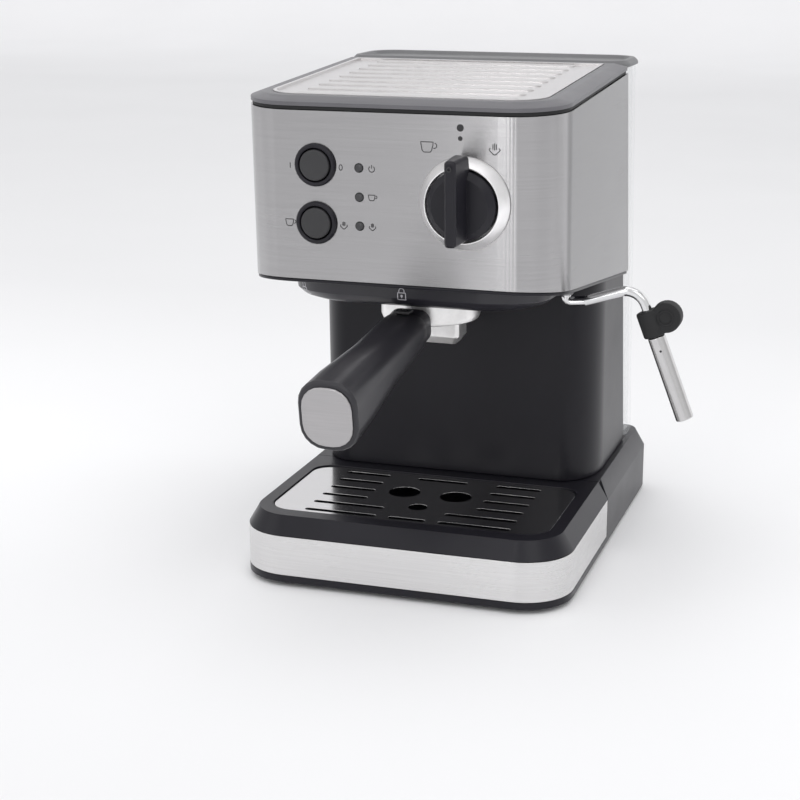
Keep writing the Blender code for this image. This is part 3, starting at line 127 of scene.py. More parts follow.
# from the front edge of the base to the camera
CAMERA_PLACE = Vector((0.3000, -0.9118, 0.3836))
LIGHT_TARGET = Vector((0.0, -0.02, 0.15))
# name, place, width, height, share of the key light's power
SOFTBOXES = (
    ("key_softbox", (1.0, -1.3, 1.5), 1.2, 1.2, 1.0),
    ("fill_softbox", (-1.5, -1.0, 1.1), 1.0, 1.4, 0.55),
    ("top_softbox", (0.0, 0.2, 1.9), 1.8, 1.4, 1.3),
    ("rim_softbox", (1.5, 0.7, 0.8), 0.6, 1.4, 0.45),
    ("strip_softbox", (-0.28, -1.57, 0.75), 0.11, 1.4, 0.5),
)
# what polished parts see round the room: (turn from straight ahead towards
# the steam wand, in degrees, and brightness)
ROOM = (
    (-180, 0.85), (-60, 0.85), (-22, 0.80), (-13.6, 0.80), (-13.0, 1.4),
    (-8.4, 1.4), (-7.6, 0.85), (60, 0.85), (104, 0.65), (112, 0.12),
    (122, 0.12), (130, 1.3), (146, 1.3), (150, 0.42), (172, 0.42), (180, 0.8),
)
# the sweep's painted light and shade, as tones of its colour: (distance back from
# the frame's middle, tone)
SWEEP_START, SWEEP_END = -1.0, 5.0
SWEEP_PAINTED_LIGHT = (
    (SWEEP_START, 0.88), (-0.40, 0.90), (-0.05, 1.02), (0.15, 1.02), (0.7, 0.90),
    (3.0, 0.92), (4.6, 1.06),
)


# ------------------------------------------------------------------- settings
class MachineSizes(bpy.types.PropertyGroup):
    soft_edge: FloatProperty(
        name="Soft edge",
        description="Width of the rounding on moulded edges",
        default=0.00055, min=0.0001, max=0.002, unit="LENGTH", precision=5,
    )
    sheet_edge: FloatProperty(
        name="Sheet edge",
        description="Width of the rounding on sheet steel edges",
        default=0.00025, min=0.00005, max=0.001, unit="LENGTH", precision=5,
    )
    edge_steps: IntProperty(
        name="Edge steps",
        description="Facets across each rounded edge",
        default=3, min=1, max=6,
    )
    print_width: FloatProperty(
        name="Print line",
        description="Width of the lines of the printed symbols",
        default=0.00050, min=0.0001, max=0.002, unit="LENGTH", precision=5,
    )


class MachineColours(bpy.types.PropertyGroup):
    steel: StringProperty(
        name="Steel", description="Brushed stainless steel, sRGB hex",
        default="#AFAEAF",
    )
    black: StringProperty(
        name="Black plastic", description="Housing plastic, sRGB hex",
        default="#1E1D23",
    )
    trim: StringProperty(
        name="Top trim", description="Trim round the cup warmer, sRGB hex",
        default="#605F63",
    )
    lid: StringProperty(
        name="Tank lid", description="Water tank lid, sRGB hex",
        default="#6A6A6C",
    )
    handle: StringProperty(
        name="Handle", description="Filter holder handle, sRGB hex",
        default="#26252A",
    )


class StageSettings(bpy.types.PropertyGroup):
    lens: FloatProperty(
        name="Lens", description="Focal length on a 36 mm sensor, in mm",
        default=79.26, min=20.0, max=200.0,
    )
    azimuth: FloatProperty(
        name="Azimuth", description="Camera's turn towards the steam wand",
        default=math.radians(17.987), subtype="ANGLE",
    )
    elevation: FloatProperty(
        name="Elevation", description="Camera's height angle",
        default=math.radians(15.303), subtype="ANGLE",
    )
    world_light: FloatProperty(
        name="Room light", description="Strength of the even room light",
        default=0.97, min=0.0, max=5.0,
    )
    key_light: FloatProperty(
        name="Key light", description="Power of the large softbox",
        default=4.0, min=0.0, max=500.0, unit="POWER",
    )


# ------------------------------------------------------------------ materials
def linear(code):
    """sRGB hex to the linear colour that a shader socket takes."""
    channels = [int(code[i:i + 2], 16) / 255 for i in (1, 3, 5)]
    return tuple(
        c / 12.92 if c <= 0.04045 else ((c + 0.055) / 1.055) ** 2.4
        for c in channels
    ) + (1.0,)


def add_node(tree, kind, inputs=None, **settings):
    """One node with its settings, values and links."""
    node = tree.nodes.new(kind)
    for key, value in settings.items():
        setattr(node, key, value)
    for key, value in (inputs or {}).items():
        socket = node.inputs[key]
        if isinstance(value, bpy.types.NodeSocket):
            tree.links.new(value, socket)
        else:
            socket.default_value = value
    return node


def new_material(name, **constants):
    """A Principled material with the values that are the same all over."""
    material = bpy.data.materials.new(name)
    material.use_nodes = True
    tree = material.node_tree
    shader = tree.nodes["Principled BSDF"]
    for key, value in constants.items():
        shader.inputs[key.replace("_", " ")].default_value = value
    return material, tree, shader


def grain(tree, size, stretch=(1.0, 1.0, 1.0), detail=2.0, rough=0.5):
    """Noise whose features are about size metres across, before stretching."""
    place = add_node(tree, "ShaderNodeTexCoord")
    mapped = add_node(tree, "ShaderNodeMapping", {
        "Vector": place.outputs["Object"], "Scale": stretch,
    })
    return add_node(tree, "ShaderNodeTexNoise", {
        "Vector": mapped.outputs["Vector"], "Scale": 1.0 / size,
        "Detail": detail, "Roughness": rough,
    })


def spread(tree, value, low, high, start=0.3, end=0.7):
    """Carries a 0..1 pattern to the range low..high."""
    return add_node(tree, "ShaderNodeMapRange", {
        "Value": value, "From Min": start, "From Max": end,
        "To Min": low, "To Max": high,
    }).outputs["Result"]


def shaded(tree, value, colour, dark, light):
    """The colour made a little darker and lighter by a pattern."""
    tones = add_node(tree, "ShaderNodeValToRGB", {"Fac": value})
    for element, factor in zip(tones.color_ramp.elements, (dark, light)):
        element.color = tuple(min(c * factor, 1.0) for c in colour[:3]) + (1.0,)
    tones.color_ramp.elements[0].position = 0.3
    tones.color_ramp.elements[1].position = 0.7
    return tones.outputs["Color"]


def raised(tree, value, depth, strength=1.0, under=None):
    """The normals of a skin raised by a 0..1 pattern, over another's."""
    inputs = {"Height": value, "Distance": depth, "Strength": strength}
    if under is not None:
        inputs["Normal"] = under
    return add_node(tree, "ShaderNodeBump", inputs).outputs["Normal"]


def moulded(name, code, roughness, grain_size=0.0007, depth=0.00002,
            swing=0.05, **constants):
    """Injection-moulded plastic: a fine sparked grain from the mould breaks the
    gloss, and handling leaves slow patches that are a little shinier."""
    material, tree, shader = new_material(name, **constants)
    colour = linear(code)
    fine = grain(tree, grain_size, detail=3.0)
    slow = grain(tree, 0.045, detail=4.0, rough=0.6)
    tree.links.new(
        shaded(tree, slow.outputs["Fac"], colour, 0.90, 1.12),
        shader.inputs["Base Color"],
    )
    tree.links.new(
        spread(tree, slow.outputs["Fac"], roughness - swing, roughness + swing),
        shader.inputs["Roughness"],
    )
    tree.links.new(
        raised(tree, fine.outputs["Fac"], depth, 0.6), shader.inputs["Normal"],
    )
    return material


def bent(tree, under, leans):
    """Leans a sheet's reflections by (from, to, degrees) outwards from its
    middle, both ways across, as rolling leaves it beside a corner."""
    place = add_node(tree, "ShaderNodeTexCoord")
    parts = add_node(tree, "ShaderNodeSeparateXYZ", {
        "Vector": place.outputs["Object"],
    })
    across = add_node(tree, "ShaderNodeMath", {
        0: parts.outputs["X"], 1: -DATUM.x,
    }, operation="ADD")
    side = add_node(tree, "ShaderNodeMath", {0: across.outputs["Value"]},
                    operation="ABSOLUTE")
    height = 0.0
    for start, end, degrees in leans:
        fall = -(end - start) * MM * math.tan(math.radians(degrees))
        step = add_node(tree, "ShaderNodeMapRange", {
            "Value": side.outputs["Value"], "From Min": start * MM,
            "From Max": end * MM, "To Min": 0.0, "To Max": fall,
        })
        height = add_node(tree, "ShaderNodeMath", {
            0: height, 1: step.outputs["Result"],
        }, operation="ADD").outputs["Value"]
    return raised(tree, height, 1.0, 1.0, under)


def painted_side_shade(tree, colour, share):
    """Painted shade: the colour, darkened where the sheet faces left or right."""
    place = add_node(tree, "ShaderNodeTexCoord")
    parts = add_node(tree, "ShaderNodeSeparateXYZ", {
        "Vector": place.outputs["Normal"],
    })
    facing = add_node(tree, "ShaderNodeMath", {0: parts.outputs["X"]},
                      operation="ABSOLUTE")
    side_dimming = spread(tree, facing.outputs["Value"], 1.0, share, 0.96, 0.995)
    return add_node(tree, "ShaderNodeVectorMath", {
        0: colour, "Scale": side_dimming,
    }, operation="SCALE").outputs["Vector"]


def brushed(name, code, roughness, stretch, spacing=0.0003, depth=0.000010,
            swing=0.03, leans=(), side_shade_share=None, **constants):
    """Belt-brushed stainless steel: long parallel scratches, finer than a
    hair, spread reflections across the brushing and leave faint light lines."""
    material, tree, shader = new_material(name, Metallic=1.0, **constants)
    colour = linear(code)
    fine = grain(tree, spacing, stretch, detail=2.0)
    wide = grain(tree, spacing * 2.5, stretch, detail=4.0, rough=0.6)
    slow = grain(tree, 0.06, detail=3.0)
    tone = shaded(tree, wide.outputs["Fac"], colour, 0.95, 1.035)
    # painted shade: the colour is darkened where the sheet faces sideways
    if side_shade_share:
        tone = painted_side_shade(tree, tone, side_shade_share)
    tree.links.new(tone, shader.inputs["Base Color"])
    both = add_node(tree, "ShaderNodeMix", {
        "Factor": 0.45, "A": fine.outputs["Fac"], "B": slow.outputs["Fac"],
    })
    tree.links.new(
        spread(tree, both.outputs["Result"], roughness - swing,
               roughness + swing),
        shader.inputs["Roughness"],
    )
    surface = raised(tree, fine.outputs["Fac"], depth)
    if leans:
        surface = bent(tree, surface, leans)
    tree.links.new(surface, shader.inputs["Normal"])
    return material


def polished(name, code, roughness, smear=0.02, ripple=0.000004):
    """Polished metal: nearly a mirror, with wipe marks that dull it in patches
    and a very slow ripple from the buffing wheel."""
    material, tree, shader = new_material(name, Metallic=1.0)
    colour = linear(code)
    patches = grain(tree, 0.008, detail=5.0, rough=0.65)
    slow = grain(tree, 0.012, detail=1.0)
    tree.links.new(
        shaded(tree, patches.outputs["Fac"], colour, 0.96, 1.03),
        shader.inputs["Base Color"],
    )
    tree.links.new(
        spread(tree, patches.outputs["Fac"], roughness, roughness + smear),
        shader.inputs["Roughness"],
    )
    tree.links.new(
        raised(tree, slow.outputs["Fac"], ripple, 0.6), shader.inputs["Normal"],
    )
    return material


def cast(name, code, roughness):
    """Gravity-cast aluminium, tumbled: a pebbly skin with small dark pits."""
    material, tree, shader = new_material(name, Metallic=1.0)
    colour = linear(code)
    pebbles = grain(tree, 0.0012, detail=4.0, rough=0.6)
    slow = grain(tree, 0.010, detail=3.0)
    tree.links.new(
        shaded(tree, slow.outputs["Fac"], colour, 0.86, 1.06),
        shader.inputs["Base Color"],
    )
    tree.links.new(
        spread(tree, pebbles.outputs["Fac"], roughness - 0.08,
               roughness + 0.10),
        shader.inputs["Roughness"],
    )
    tree.links.new(
        raised(tree, pebbles.outputs["Fac"], 0.00006, 0.7),
        shader.inputs["Normal"],
    )
    return material


def clear_plastic(name):
    """Clear SAN, injection moulded and polished: water-white and thin, so
    little more than its edges and a faint gloss show."""
    material, tree, shader = new_material(
        name, Base_Color=linear("#F2F5F6"), Alpha=0.10, Roughness=0.04,
    )
    slow = grain(tree, 0.02, detail=1.0)
    tree.links.new(
        raised(tree, slow.outputs["Fac"], 0.00001, 0.3),
        shader.inputs["Normal"],
    )
    return material


def board(name):
    """Glass-fibre circuit board under green solder mask, with copper tracks
    showing as slightly lighter lines."""
    material, tree, shader = new_material(name, Roughness=0.35)
    place = add_node(tree, "ShaderNodeTexCoord")
    tracks = add_node(tree, "ShaderNodeTexBrick", {
        "Vector": place.outputs["Object"], "Scale": 160.0,
        "Color1": linear("#1E6A3A"), "Color2": linear("#185A30"),
        "Mortar": linear("#3C8F55"), "Mortar Size": 0.04,
    })
    tree.links.new(tracks.outputs["Color"], shader.inputs["Base Color"])
    return material


# finishes under the record's slots, and those of single pieces
FINISHES = {}
SPECIAL = {}


def make_finishes(colours):
    """Keeps a finish for every slot, and returns those of single pieces."""
    along_x = (0.012, 1.0, 1.0)
    level_lines = (0.012, 0.012, 1.0)
    FINISHES.update(
        # injection-moulded ABS, satin with a sparked grain
        black_abs=moulded(
            "moulded_black_abs", colours.black, 0.31, 0.0007, 0.000006, 0.02,
            Specular_IOR_Level=0.27,
        ),
        # ABS from a smoother mould, a soft sheen
        shroud_abs=moulded("satin_black_abs", "#2A292F", 0.33, 0.0009, 0.00001),
        # switch caps with a matt grain
        button_abs=moulded("matt_black_abs", "#2C2C2E", 0.46, 0.0005, 0.00003),
        # compression-moulded phenolic, deep black with a satin sheen
        handle_phenolic=moulded(
            "moulded_black_phenolic", colours.handle, 0.34, 0.0008, 0.00001,
        ),
        # dark grey ABS with a satin sheen
        trim_abs=moulded("satin_grey_abs", colours.trim, 0.36, 0.0006, 0.00002),
        # mid grey ABS, satin
        lid_abs=moulded("moulded_grey_abs", colours.lid, 0.42, 0.0006, 0.00002),
        # glass-filled nylon, light grey and dry looking
        grey_nylon=moulded("moulded_grey_nylon", "#8E8E90", 0.5),
        # nitrile rubber, matt with a bloom
        black_rubber=moulded(
            "moulded_black_rubber", "#151517", 0.62, 0.0006, 0.00005,
        ),
        brushed_steel=brushed(
            "brushed_stainless_steel", colours.steel, 0.25, level_lines,
            Anisotropic=0.95, Anisotropic_Rotation=0.25,
        ),
        polished_chrome=polished("chrome_plated_steel", "#E3E3E4", 0.05),
        cast_aluminium=cast("cast_aluminium", "#F2F1F0", 0.36),
        brass=polished("machined_brass", "#C9A664", 0.22, 0.1),
        copper=polished("drawn_copper", "#C98A63", 0.25, 0.1),
        clear_san=clear_plastic("clear_san"),
        # translucent silicone, milky
        silicone_hose=moulded(
            "extruded_silicone", "#D2D2CE", 0.4, Subsurface_Weight=0.3,
            Subsurface_Scale=0.002,
        ),
        # smoked polycarbonate lens, glossy and nearly black when unlit
        light_lens=moulded(
            "smoked_polycarbonate", "#39393B", 0.16, 0.0008, 0.000004, 0.03,
        ),
        circuit_board=board("solder_masked_board"),
    )
    return {
        # the same belt on the rolled head panel, which leans back slightly beside
        # its corners; its colour is darkened where it faces left or right, as
        # painted shade on the side panels
        "panel_steel": brushed(
            "brushed_stainless_panel", colours.steel, 0.25, level_lines,
            leans=((59.0, 61.9, 2.0), (63.5, 66.0, -3.5), (66.0, 68.0, -7.0),
                   (68.0, 70.0, -10.5)),
            side_shade_share=0.56, Anisotropic=0.95, Anisotropic_Rotation=0.25,
        ),
        # rolled bright sheet, brushed from side to side
        "tray_steel": brushed(
            "satin_stainless_sheet", "#DDDCDC", 0.13, along_x, 0.0003, 0.000004,
        ),
        # screen-printed ink, dense and matt; it also paints the shade in the froth
        # sleeve's air hole
        "dark_ink_and_painted_shade": moulded("printed_black_ink_and_painted_shade", "#2B2A2C", 0.55),
        "pale_ink": moulded("printed_grey_ink", "#C9C7CC", 0.5),
        # the column's black ABS, a little duller, its colour darkened as painted
        # shade where the column stands under the head
        "column_abs_painted_shade": moulded(
            "dull_black_abs_painted_shade", "#16151B", 0.34, 0.0007, 0.000006, 0.02,
            Specular_IOR_Level=0.26,
        ),
        # pressed bright sheet, matted, with wipe marks
        "warmer_steel": polished(
            "matted_stainless_sheet", "#DEDCDC", 0.30, 0.03, 0.000001,
        ),
        # the tray band's brushed sheet, its colour painted much lighter than the
        # head's steel, as painted light where the band faces the lights
        "band_steel_painted_light": brushed(
            "brushed_stainless_band_painted_light", "#E0DFDF", 0.26, level_lines,
            Anisotropic=0.8, Anisotropic_Rotation=0.25,
        ),
        # turned and polished steel ring
        "turned_steel": polished("turned_stainless_steel", "#FBFAFA", 0.34, 0.06),
        # drawn tube, polished
        "tube_steel": polished("drawn_stainless_tube", "#CFCECE", 0.16, 0.04),
        # spring steel sheet, blackened
        "black_sheet": moulded("blackened_spring_steel", "#222124", 0.3),
        # fine-ground sheet, nearly even
        "cap_steel": brushed(
            "fine_ground_stainless_sheet", "#B4B2B3", 0.34, along_x, 0.0003,
            0.000003, 0.01,
        ),
    }


# -------------------------------------------------------------------- shaping
def node_shape(name):
    """A CAD node's shape with its triangles joined into whole faces."""
    bm = bmesh.new()
    bm.from_mesh(frame["nodes"][name].data)
    bmesh.ops.remove_doubles(bm, verts=bm.verts, dist=MERGE_DISTANCE)
    bmesh.ops.dissolve_limit(
        bm, angle_limit=FLAT_ANGLE, use_dissolve_boundaries=False,
        verts=bm.verts, edges=bm.edges, delimit=set(),
    )
    return bm


def finish_piece(name, bm, finish, body, replaced=(), edge=0.0,
                 sharp=SHARP_ANGLE):
    """Makes the object, rounds its sharp edges and fixes it to a body."""
    sizes = bpy.context.scene.machine_sizes
    mesh = bpy.data.meshes.new(name)
    bm.to_mesh(mesh)
    bm.free()
    mesh.materials.append(finish)
    mesh.shade_smooth()
    piece = bpy.data.objects.new(name, mesh)
    bpy.context.scene.collection.objects.link(piece)
    if edge:
        rounding = piece.modifiers.new("rounding", "BEVEL")
        rounding.width = edge
        rounding.segments = sizes.edge_steps
        rounding.profile = 0.5
        rounding.limit_method = "ANGLE"
        rounding.angle_limit = SHARP_ANGLE
        rounding.use_clamp_overlap = True
        # large flat faces stay flat beside the rounded edges
        evening = piece.modifiers.new("evening", "WEIGHTED_NORMAL")
        evening.mode = "FACE_AREA"
        evening.weight = 100
    else:
        mesh.set_sharp_from_angle(angle=sharp)
    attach(piece, body)
    if replaced:
        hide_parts(*replaced)
    return piece


def dress(node, slot, edge, finish=None, sharp=SHARP_ANGLE):
    """Stands a piece with rounded edges in for a CAD node of the same shape."""
    body = frame["nodes"][node]["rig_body"]
    return finish_piece(
        node + "_finished", node_shape(node), finish or FINISHES[slot], body,
        (node,), edge, sharp,
    )


def turned(profile, steps):
    """Spins a profile in millimetres once round +Z."""
    bm = bmesh.new()
    verts = [
        bm.verts.new((radius * MM, 0.0, height * MM)) for radius, height in profile
    ]
    edges = [bm.edges.new(pair) for pair in zip(verts, verts[1:])]
    if profile[0][0] > 0.0:
        edges.append(bm.edges.new((verts[-1], verts[0])))
    bmesh.ops.spin(
        bm, geom=verts + edges, cent=(0.0, 0.0, 0.0), axis=(0.0, 0.0, 1.0),
        angle=math.tau, steps=steps, use_merge=True,
    )
    bmesh.ops.remove_doubles(bm, verts=bm.verts, dist=1e-7)
    bmesh.ops.recalc_face_normals(bm, faces=bm.faces)
    return bm


def placed(bm, matrix):
    """The shape, moved."""
    bmesh.ops.transform(bm, matrix=matrix, verts=bm.verts)
    return bm


def surface_of(node):
    """A CAD node's surface, to cast rays at."""
    mesh = frame["nodes"][node].data
    return BVHTree.FromPolygons(
        [vert.co for vert in mesh.vertices],
        [face.vertices for face in mesh.polygons],
    )


def on_surface(surface, origin, direction):
    """Where a ray first meets the surface, and the surface's way out there."""
    place, normal, _, _ = surface.ray_cast(origin, direction)
    if place is None:
        raise RuntimeError("a mark or fixing misses its surface")
    return place, normal


# ------------------------------------------------------------ printed symbols
# a symbol is a list of strokes: (points, whether closed, own width or None),
# in millimetres
def arc(x, y, radius, start, end, steps):
    """Points round (x, y) from one angle to another, in degrees."""
    angles = [
        math.radians(start + (end - start) * i / steps) for i in range(steps + 1)
    ]
    return [
        (x + radius * math.cos(angle), y + radius * math.sin(angle))
        for angle in angles
    ]


def dot_symbol(size):
    return [(arc(0.0, 0.0, size / 2, 0.0, 342.0, 19), True, size)]


def bar_symbol(size):
    return [([(0.0, -size / 2), (0.0, size / 2)], False, None)]


def nought_symbol(size):
    ring = [(x * 0.62, y) for x, y in arc(0.0, 0.0, size / 2, 0.0, 345.0, 23)]
    return [(ring, True, None)]


def cup_symbol(size):
    """A cup seen from the side, size wide with its handle."""
    s = size / 10.0
    body = [(-4.6 * s, 3.0 * s), (3.0 * s, 3.0 * s), (2.7 * s, 0.6 * s)]
    body += arc(-0.3 * s, -0.6 * s, 2.6 * s, 0.0, -60.0, 8)
    body += [(-2.2 * s, -2.9 * s)]
    body += arc(-1.3 * s, -0.6 * s, 2.6 * s, -120.0, -180.0, 8)
    ear = arc(3.6 * s, 0.9 * s, 1.5 * s, 80.0, -110.0, 12)
    return [(body, True, None), (ear, False, None)]


def steam_symbol(size):
    """A low cloud with three rising jets."""
    s = size / 8.0
    cloud = arc(-2.4 * s, -0.6 * s, 1.1 * s, 110.0, 250.0, 8)
    cloud += arc(0.0, -2.0 * s, 1.7 * s, 205.0, 335.0, 12)
    cloud += arc(2.4 * s, -0.6 * s, 1.1 * s, -70.0, 70.0, 8)
    jets = [
        ([(x * s, low * s), (x * s, high * s)], False, None)
        for x, low, high in ((-1.1, -0.4, 3.0), (0.0, -0.8, 3.6), (1.1, -0.4, 3.0))
    ]
    return [(cloud, False, None)] + jets


def power_symbol(size):
    ring = arc(0.0, -size * 0.06, size * 0.42, 125.0, 415.0, 24)
    stem = [(0.0, size * 0.02), (0.0, size * 0.5)]
    return [(ring, False, None), (stem, False, None)]


def lock_symbol(size, shut):
    """A padlock with a keyhole, its shackle shut or swung clear."""
    s = size / 10.0
    body = [(-3.4 * s, -5.0 * s), (3.4 * s, -5.0 * s), (3.4 * s, 1.0 * s),
            (-3.4 * s, 1.0 * s)]
    lift = 0.0 if shut else 1.4
    shackle = [(-2.2 * s, (1.0 if shut else 1.6) * s)]
    shackle += arc(0.0, (2.6 + lift) * s, 2.2 * s, 180.0, 0.0, 12)
    shackle += [(2.2 * s, 1.0 * s)]
    hole = [(0.0, -2.4 * s), (0.0, -3.4 * s)]
    return [
        (body, True, None), (shackle, False, None), (hole, False, None),
        (arc(0.0, -1.6 * s, 0.5 * s, 0.0, 300.0, 5), True, 0.9),
    ]


def close_points(points, closed, pitch=0.5):
    """The stroke with points no further apart than pitch, in millimetres."""
    ends = points[1:] + points[:1] if closed else points[1:]
    close = []
    for (x, y), (far_x, far_y) in zip(points, ends):
        parts = max(1, math.ceil(math.hypot(far_x - x, far_y - y) / pitch))
        close += [
            (x + (far_x - x) * i / parts, y + (far_y - y) * i / parts)
            for i in range(parts)
        ]
    return close if closed else close + [points[-1]]


def print_marks(name, node, marks, finish, direction, lift=0.1 * MM):
    """Prints symbols on a node's outside, each at its own (place, symbol),
    where place is a point and the way across to the right from it."""
    width = bpy.context.scene.machine_sizes.print_width
    surface = surface_of(node)
    whole = bmesh.new()
    for (middle, right), symbol in marks:
        curve = bpy.data.curves.new(name, "CURVE")
        curve.dimensions = "3D"
        curve.bevel_depth = 1.0
        curve.bevel_resolution = 1
        curve.use_fill_caps = True
        for points, closed, own_width in symbol:
            points = close_points(points, closed)
            spline = curve.splines.new("POLY")
            spline.points.add(len(points) - 1)
            for point, (x, y) in zip(spline.points, points):
                point.co = (x * MM, y * MM, 0.0, 1.0)
                point.radius = (own_width * MM if own_width else width) / 2
            spline.use_cyclic_u = closed
        holder = bpy.data.objects.new(name, curve)
        bpy.context.scene.collection.objects.link(holder)
        bpy.context.view_layer.update()
        seen = holder.evaluated_get(bpy.context.evaluated_depsgraph_get())
        mesh = bpy.data.meshes.new_from_object(seen)
        bpy.data.objects.remove(holder)
        mark = bmesh.new()
        mark.from_mesh(mesh)
        bpy.data.meshes.remove(mesh)
        tallest = max((abs(vert.co.z) for vert in mark.verts), default=1.0)
        for vert in mark.verts:
            start = middle + right * vert.co.x + UP * vert.co.y
            place, _ = on_surface(surface, start - direction * 0.03, direction)
            vert.co = place - direction * (vert.co.z / tallest * lift)
        part = bpy.data.meshes.new(name)
        mark.to_mesh(part)
        mark.free()
        whole.from_mesh(part)
        bpy.data.meshes.remove(part)
    bmesh.ops.recalc_face_normals(whole, faces=whole.faces)
    body = frame["nodes"][node]["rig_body"]
    return finish_piece(name, whole, finish, body)


def panel_spot(x, z):
    """A place on the front panel from its millimetres across and up."""
    return DATUM + Vector((x * MM, 0.0, z * MM)), RIGHTWARDS


def panel_frame(x, z, reach=28.0):
    """Stands a piece's +Z square on the front panel at a place on it, found
    from the panel's surface reach millimetres above and below."""
    surface = surface_of("head_wrap")
    ends = []
    for side in (-reach, reach):
        spot, _ = panel_spot(x, z + side)
        ends.append(on_surface(surface, spot - TOWARDS_PANEL, TOWARDS_PANEL)[0])
    upward = (ends[1] - ends[0]).normalized()
    out = RIGHTWARDS.cross(upward)
    turn = Matrix((RIGHTWARDS, upward, out)).transposed().to_4x4()
    return Matrix.Translation((ends[0] + ends[1]) / 2) @ turn


# ------------------------------------------------------------------ operators
class MACHINE_OT_materials(bpy.types.Operator):
    """Makes the finishes and gives every CAD node its own"""
    bl_idname = "machine.materials"
    bl_label = "Materials"

    def execute(self, context):
        SPECIAL.update(make_finishes(context.scene.machine_colours))
        for node, slot in NODE_SLOTS.items():
            materials = frame["nodes"][node].data.materials
            materials.clear()
            materials.append(FINISHES[slot])
        return {"FINISHED"}


class MACHINE_OT_base(bpy.types.Operator):
    """Rear housing, drip tray, steel band, grid and feet"""
    bl_idname = "machine.base"
    bl_label = "Base"

    def execute(self, context):
        sizes = context.scene.machine_sizes
        for node in ("base_housing", "bottom_plate", "drip_tray", "cord_gland"):
            dress(node, NODE_SLOTS[node], sizes.soft_edge)
        for foot in ("front_left", "front_right", "rear_left", "rear_right"):
            dress("foot_" + foot, "black_rubber", sizes.soft_edge)
        # the band's steel colour is painted lighter, as painted light
        dress("tray_band", "brushed_steel", sizes.sheet_edge,
              SPECIAL["band_steel_painted_light"])
        dress("drip_grid", "brushed_steel", sizes.sheet_edge,
              SPECIAL["tray_steel"])
        return {"FINISHED"}


class MACHINE_OT_column(bpy.types.Operator):
    """Column behind the cup space"""
    bl_idname = "machine.column"
    bl_label = "Column"

    def execute(self, context):
        # the column takes the black ABS darkened as painted shade
        dress("column_shell", "black_abs", context.scene.machine_sizes.soft_edge,
              SPECIAL["column_abs_painted_shade"])
        return {"FINISHED"}


class MACHINE_OT_head(bpy.types.Operator):
    """Steel wrap, underside, back plate, gasket, trim and cup warmer"""
    bl_idname = "machine.head"
    bl_label = "Head"

    def execute(self, context):
        sizes = context.scene.machine_sizes
        dress("head_wrap", "brushed_steel", sizes.sheet_edge,
              SPECIAL["panel_steel"])
        for node in ("head_pan", "head_back", "top_gasket", "top_trim"):
            dress(node, NODE_SLOTS[node], sizes.soft_edge)
        dress("warming_tray", "brushed_steel", 0.0, SPECIAL["warmer_steel"],
              CREASE_ANGLE)
        return {"FINISHED"}


class MACHINE_OT_controls(bpy.types.Operator):
    """Buttons in their bezels, lights, knob and its steel ring"""
    bl_idname = "machine.controls"
    bl_label = "Controls"

    def execute(self, context):
        sizes = context.scene.machine_sizes
        for node in ("power_bezel", "brew_bezel", "power_button", "brew_button",
                     "power_light", "brew_light", "steam_light", "steam_knob"):
            dress(node, NODE_SLOTS[node], sizes.soft_edge)
        face = panel_frame(*KNOB_PLACE)
        finish_piece(
            "knob_ring_turned", placed(turned(RING_PROFILE, 96), face),
            SPECIAL["turned_steel"], "machine", ("knob_ring",),
        )
        # small raised eye that marks the pointing end of the grip bar
        low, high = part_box("steam_knob")
        height = (face.inverted() @ Vector((
            (low.x + high.x) / 2, low.y, (low.z + high.z) / 2,
        ))).z
        end = face @ Matrix.Translation((0.0, POINTER_REACH * MM, height))
        finish_piece(
            "knob_pointer", placed(turned(POINTER_PROFILE, 32), end),
            FINISHES["button_abs"], "steam_knob",
        )
        return {"FINISHED"}


class MACHINE_OT_symbols(bpy.types.Operator):
    """Printed dots, cups, steam jets, switch marks and padlocks"""
    bl_idname = "machine.symbols"
    bl_label = "Printed symbols"

    def execute(self, context):
        on_panel = [
            (panel_spot(38.1, 275.3), dot_symbol(2.0)),
            (panel_spot(38.1, 269.6), dot_symbol(1.3)),
            (panel_spot(20.1, 264.3), cup_symbol(9.4)),
            (panel_spot(57.2, 264.7), steam_symbol(6.8)),
            (panel_spot(-60.2, 251.2), bar_symbol(3.0)),
            (panel_spot(-30.4, 251.1), nought_symbol(3.0)),
            (panel_spot(-61.0, 218.9), cup_symbol(6.4)),
            (panel_spot(-29.2, 218.9), steam_symbol(4.6)),
            (panel_spot(-12.4, 251.2), power_symbol(4.0)),
            (panel_spot(-12.2, 235.0), cup_symbol(5.2)),
            (panel_spot(-12.4, 218.8), steam_symbol(4.4)),
        ]
        print_marks("panel_print", "head_wrap", on_panel, SPECIAL["dark_ink_and_painted_shade"],
                    TOWARDS_PANEL)
        spot = DATUM + Vector((-2.6 * MM, 0.0, 177.2 * MM))
        print_marks(
            "shut_padlock_print", "group_shroud",
            [((spot, RIGHTWARDS), lock_symbol(7.0, True))],
            SPECIAL["pale_ink"], TOWARDS_PANEL,
        )
        aside = Vector((0.72, 0.69, 0.0)).normalized()
        spot = DATUM + Vector((-65.5 * MM, 32.5 * MM, 175.0 * MM))
        print_marks(
            "open_padlock_print", "group_shroud",
            [((spot, Vector((aside.y, -aside.x, 0.0))), lock_symbol(7.0, False))],
            SPECIAL["pale_ink"], aside,
        )
        return {"FINISHED"}


class MACHINE_OT_group(bpy.types.Operator):
    """Shroud and brew group"""
    bl_idname = "machine.group"
    bl_label = "Brew group"

    def execute(self, context):
        sizes = context.scene.machine_sizes
        dress("group_shroud", NODE_SLOTS["group_shroud"], sizes.soft_edge)
        dress("group_head", "cast_aluminium", sizes.soft_edge)
        return {"FINISHED"}


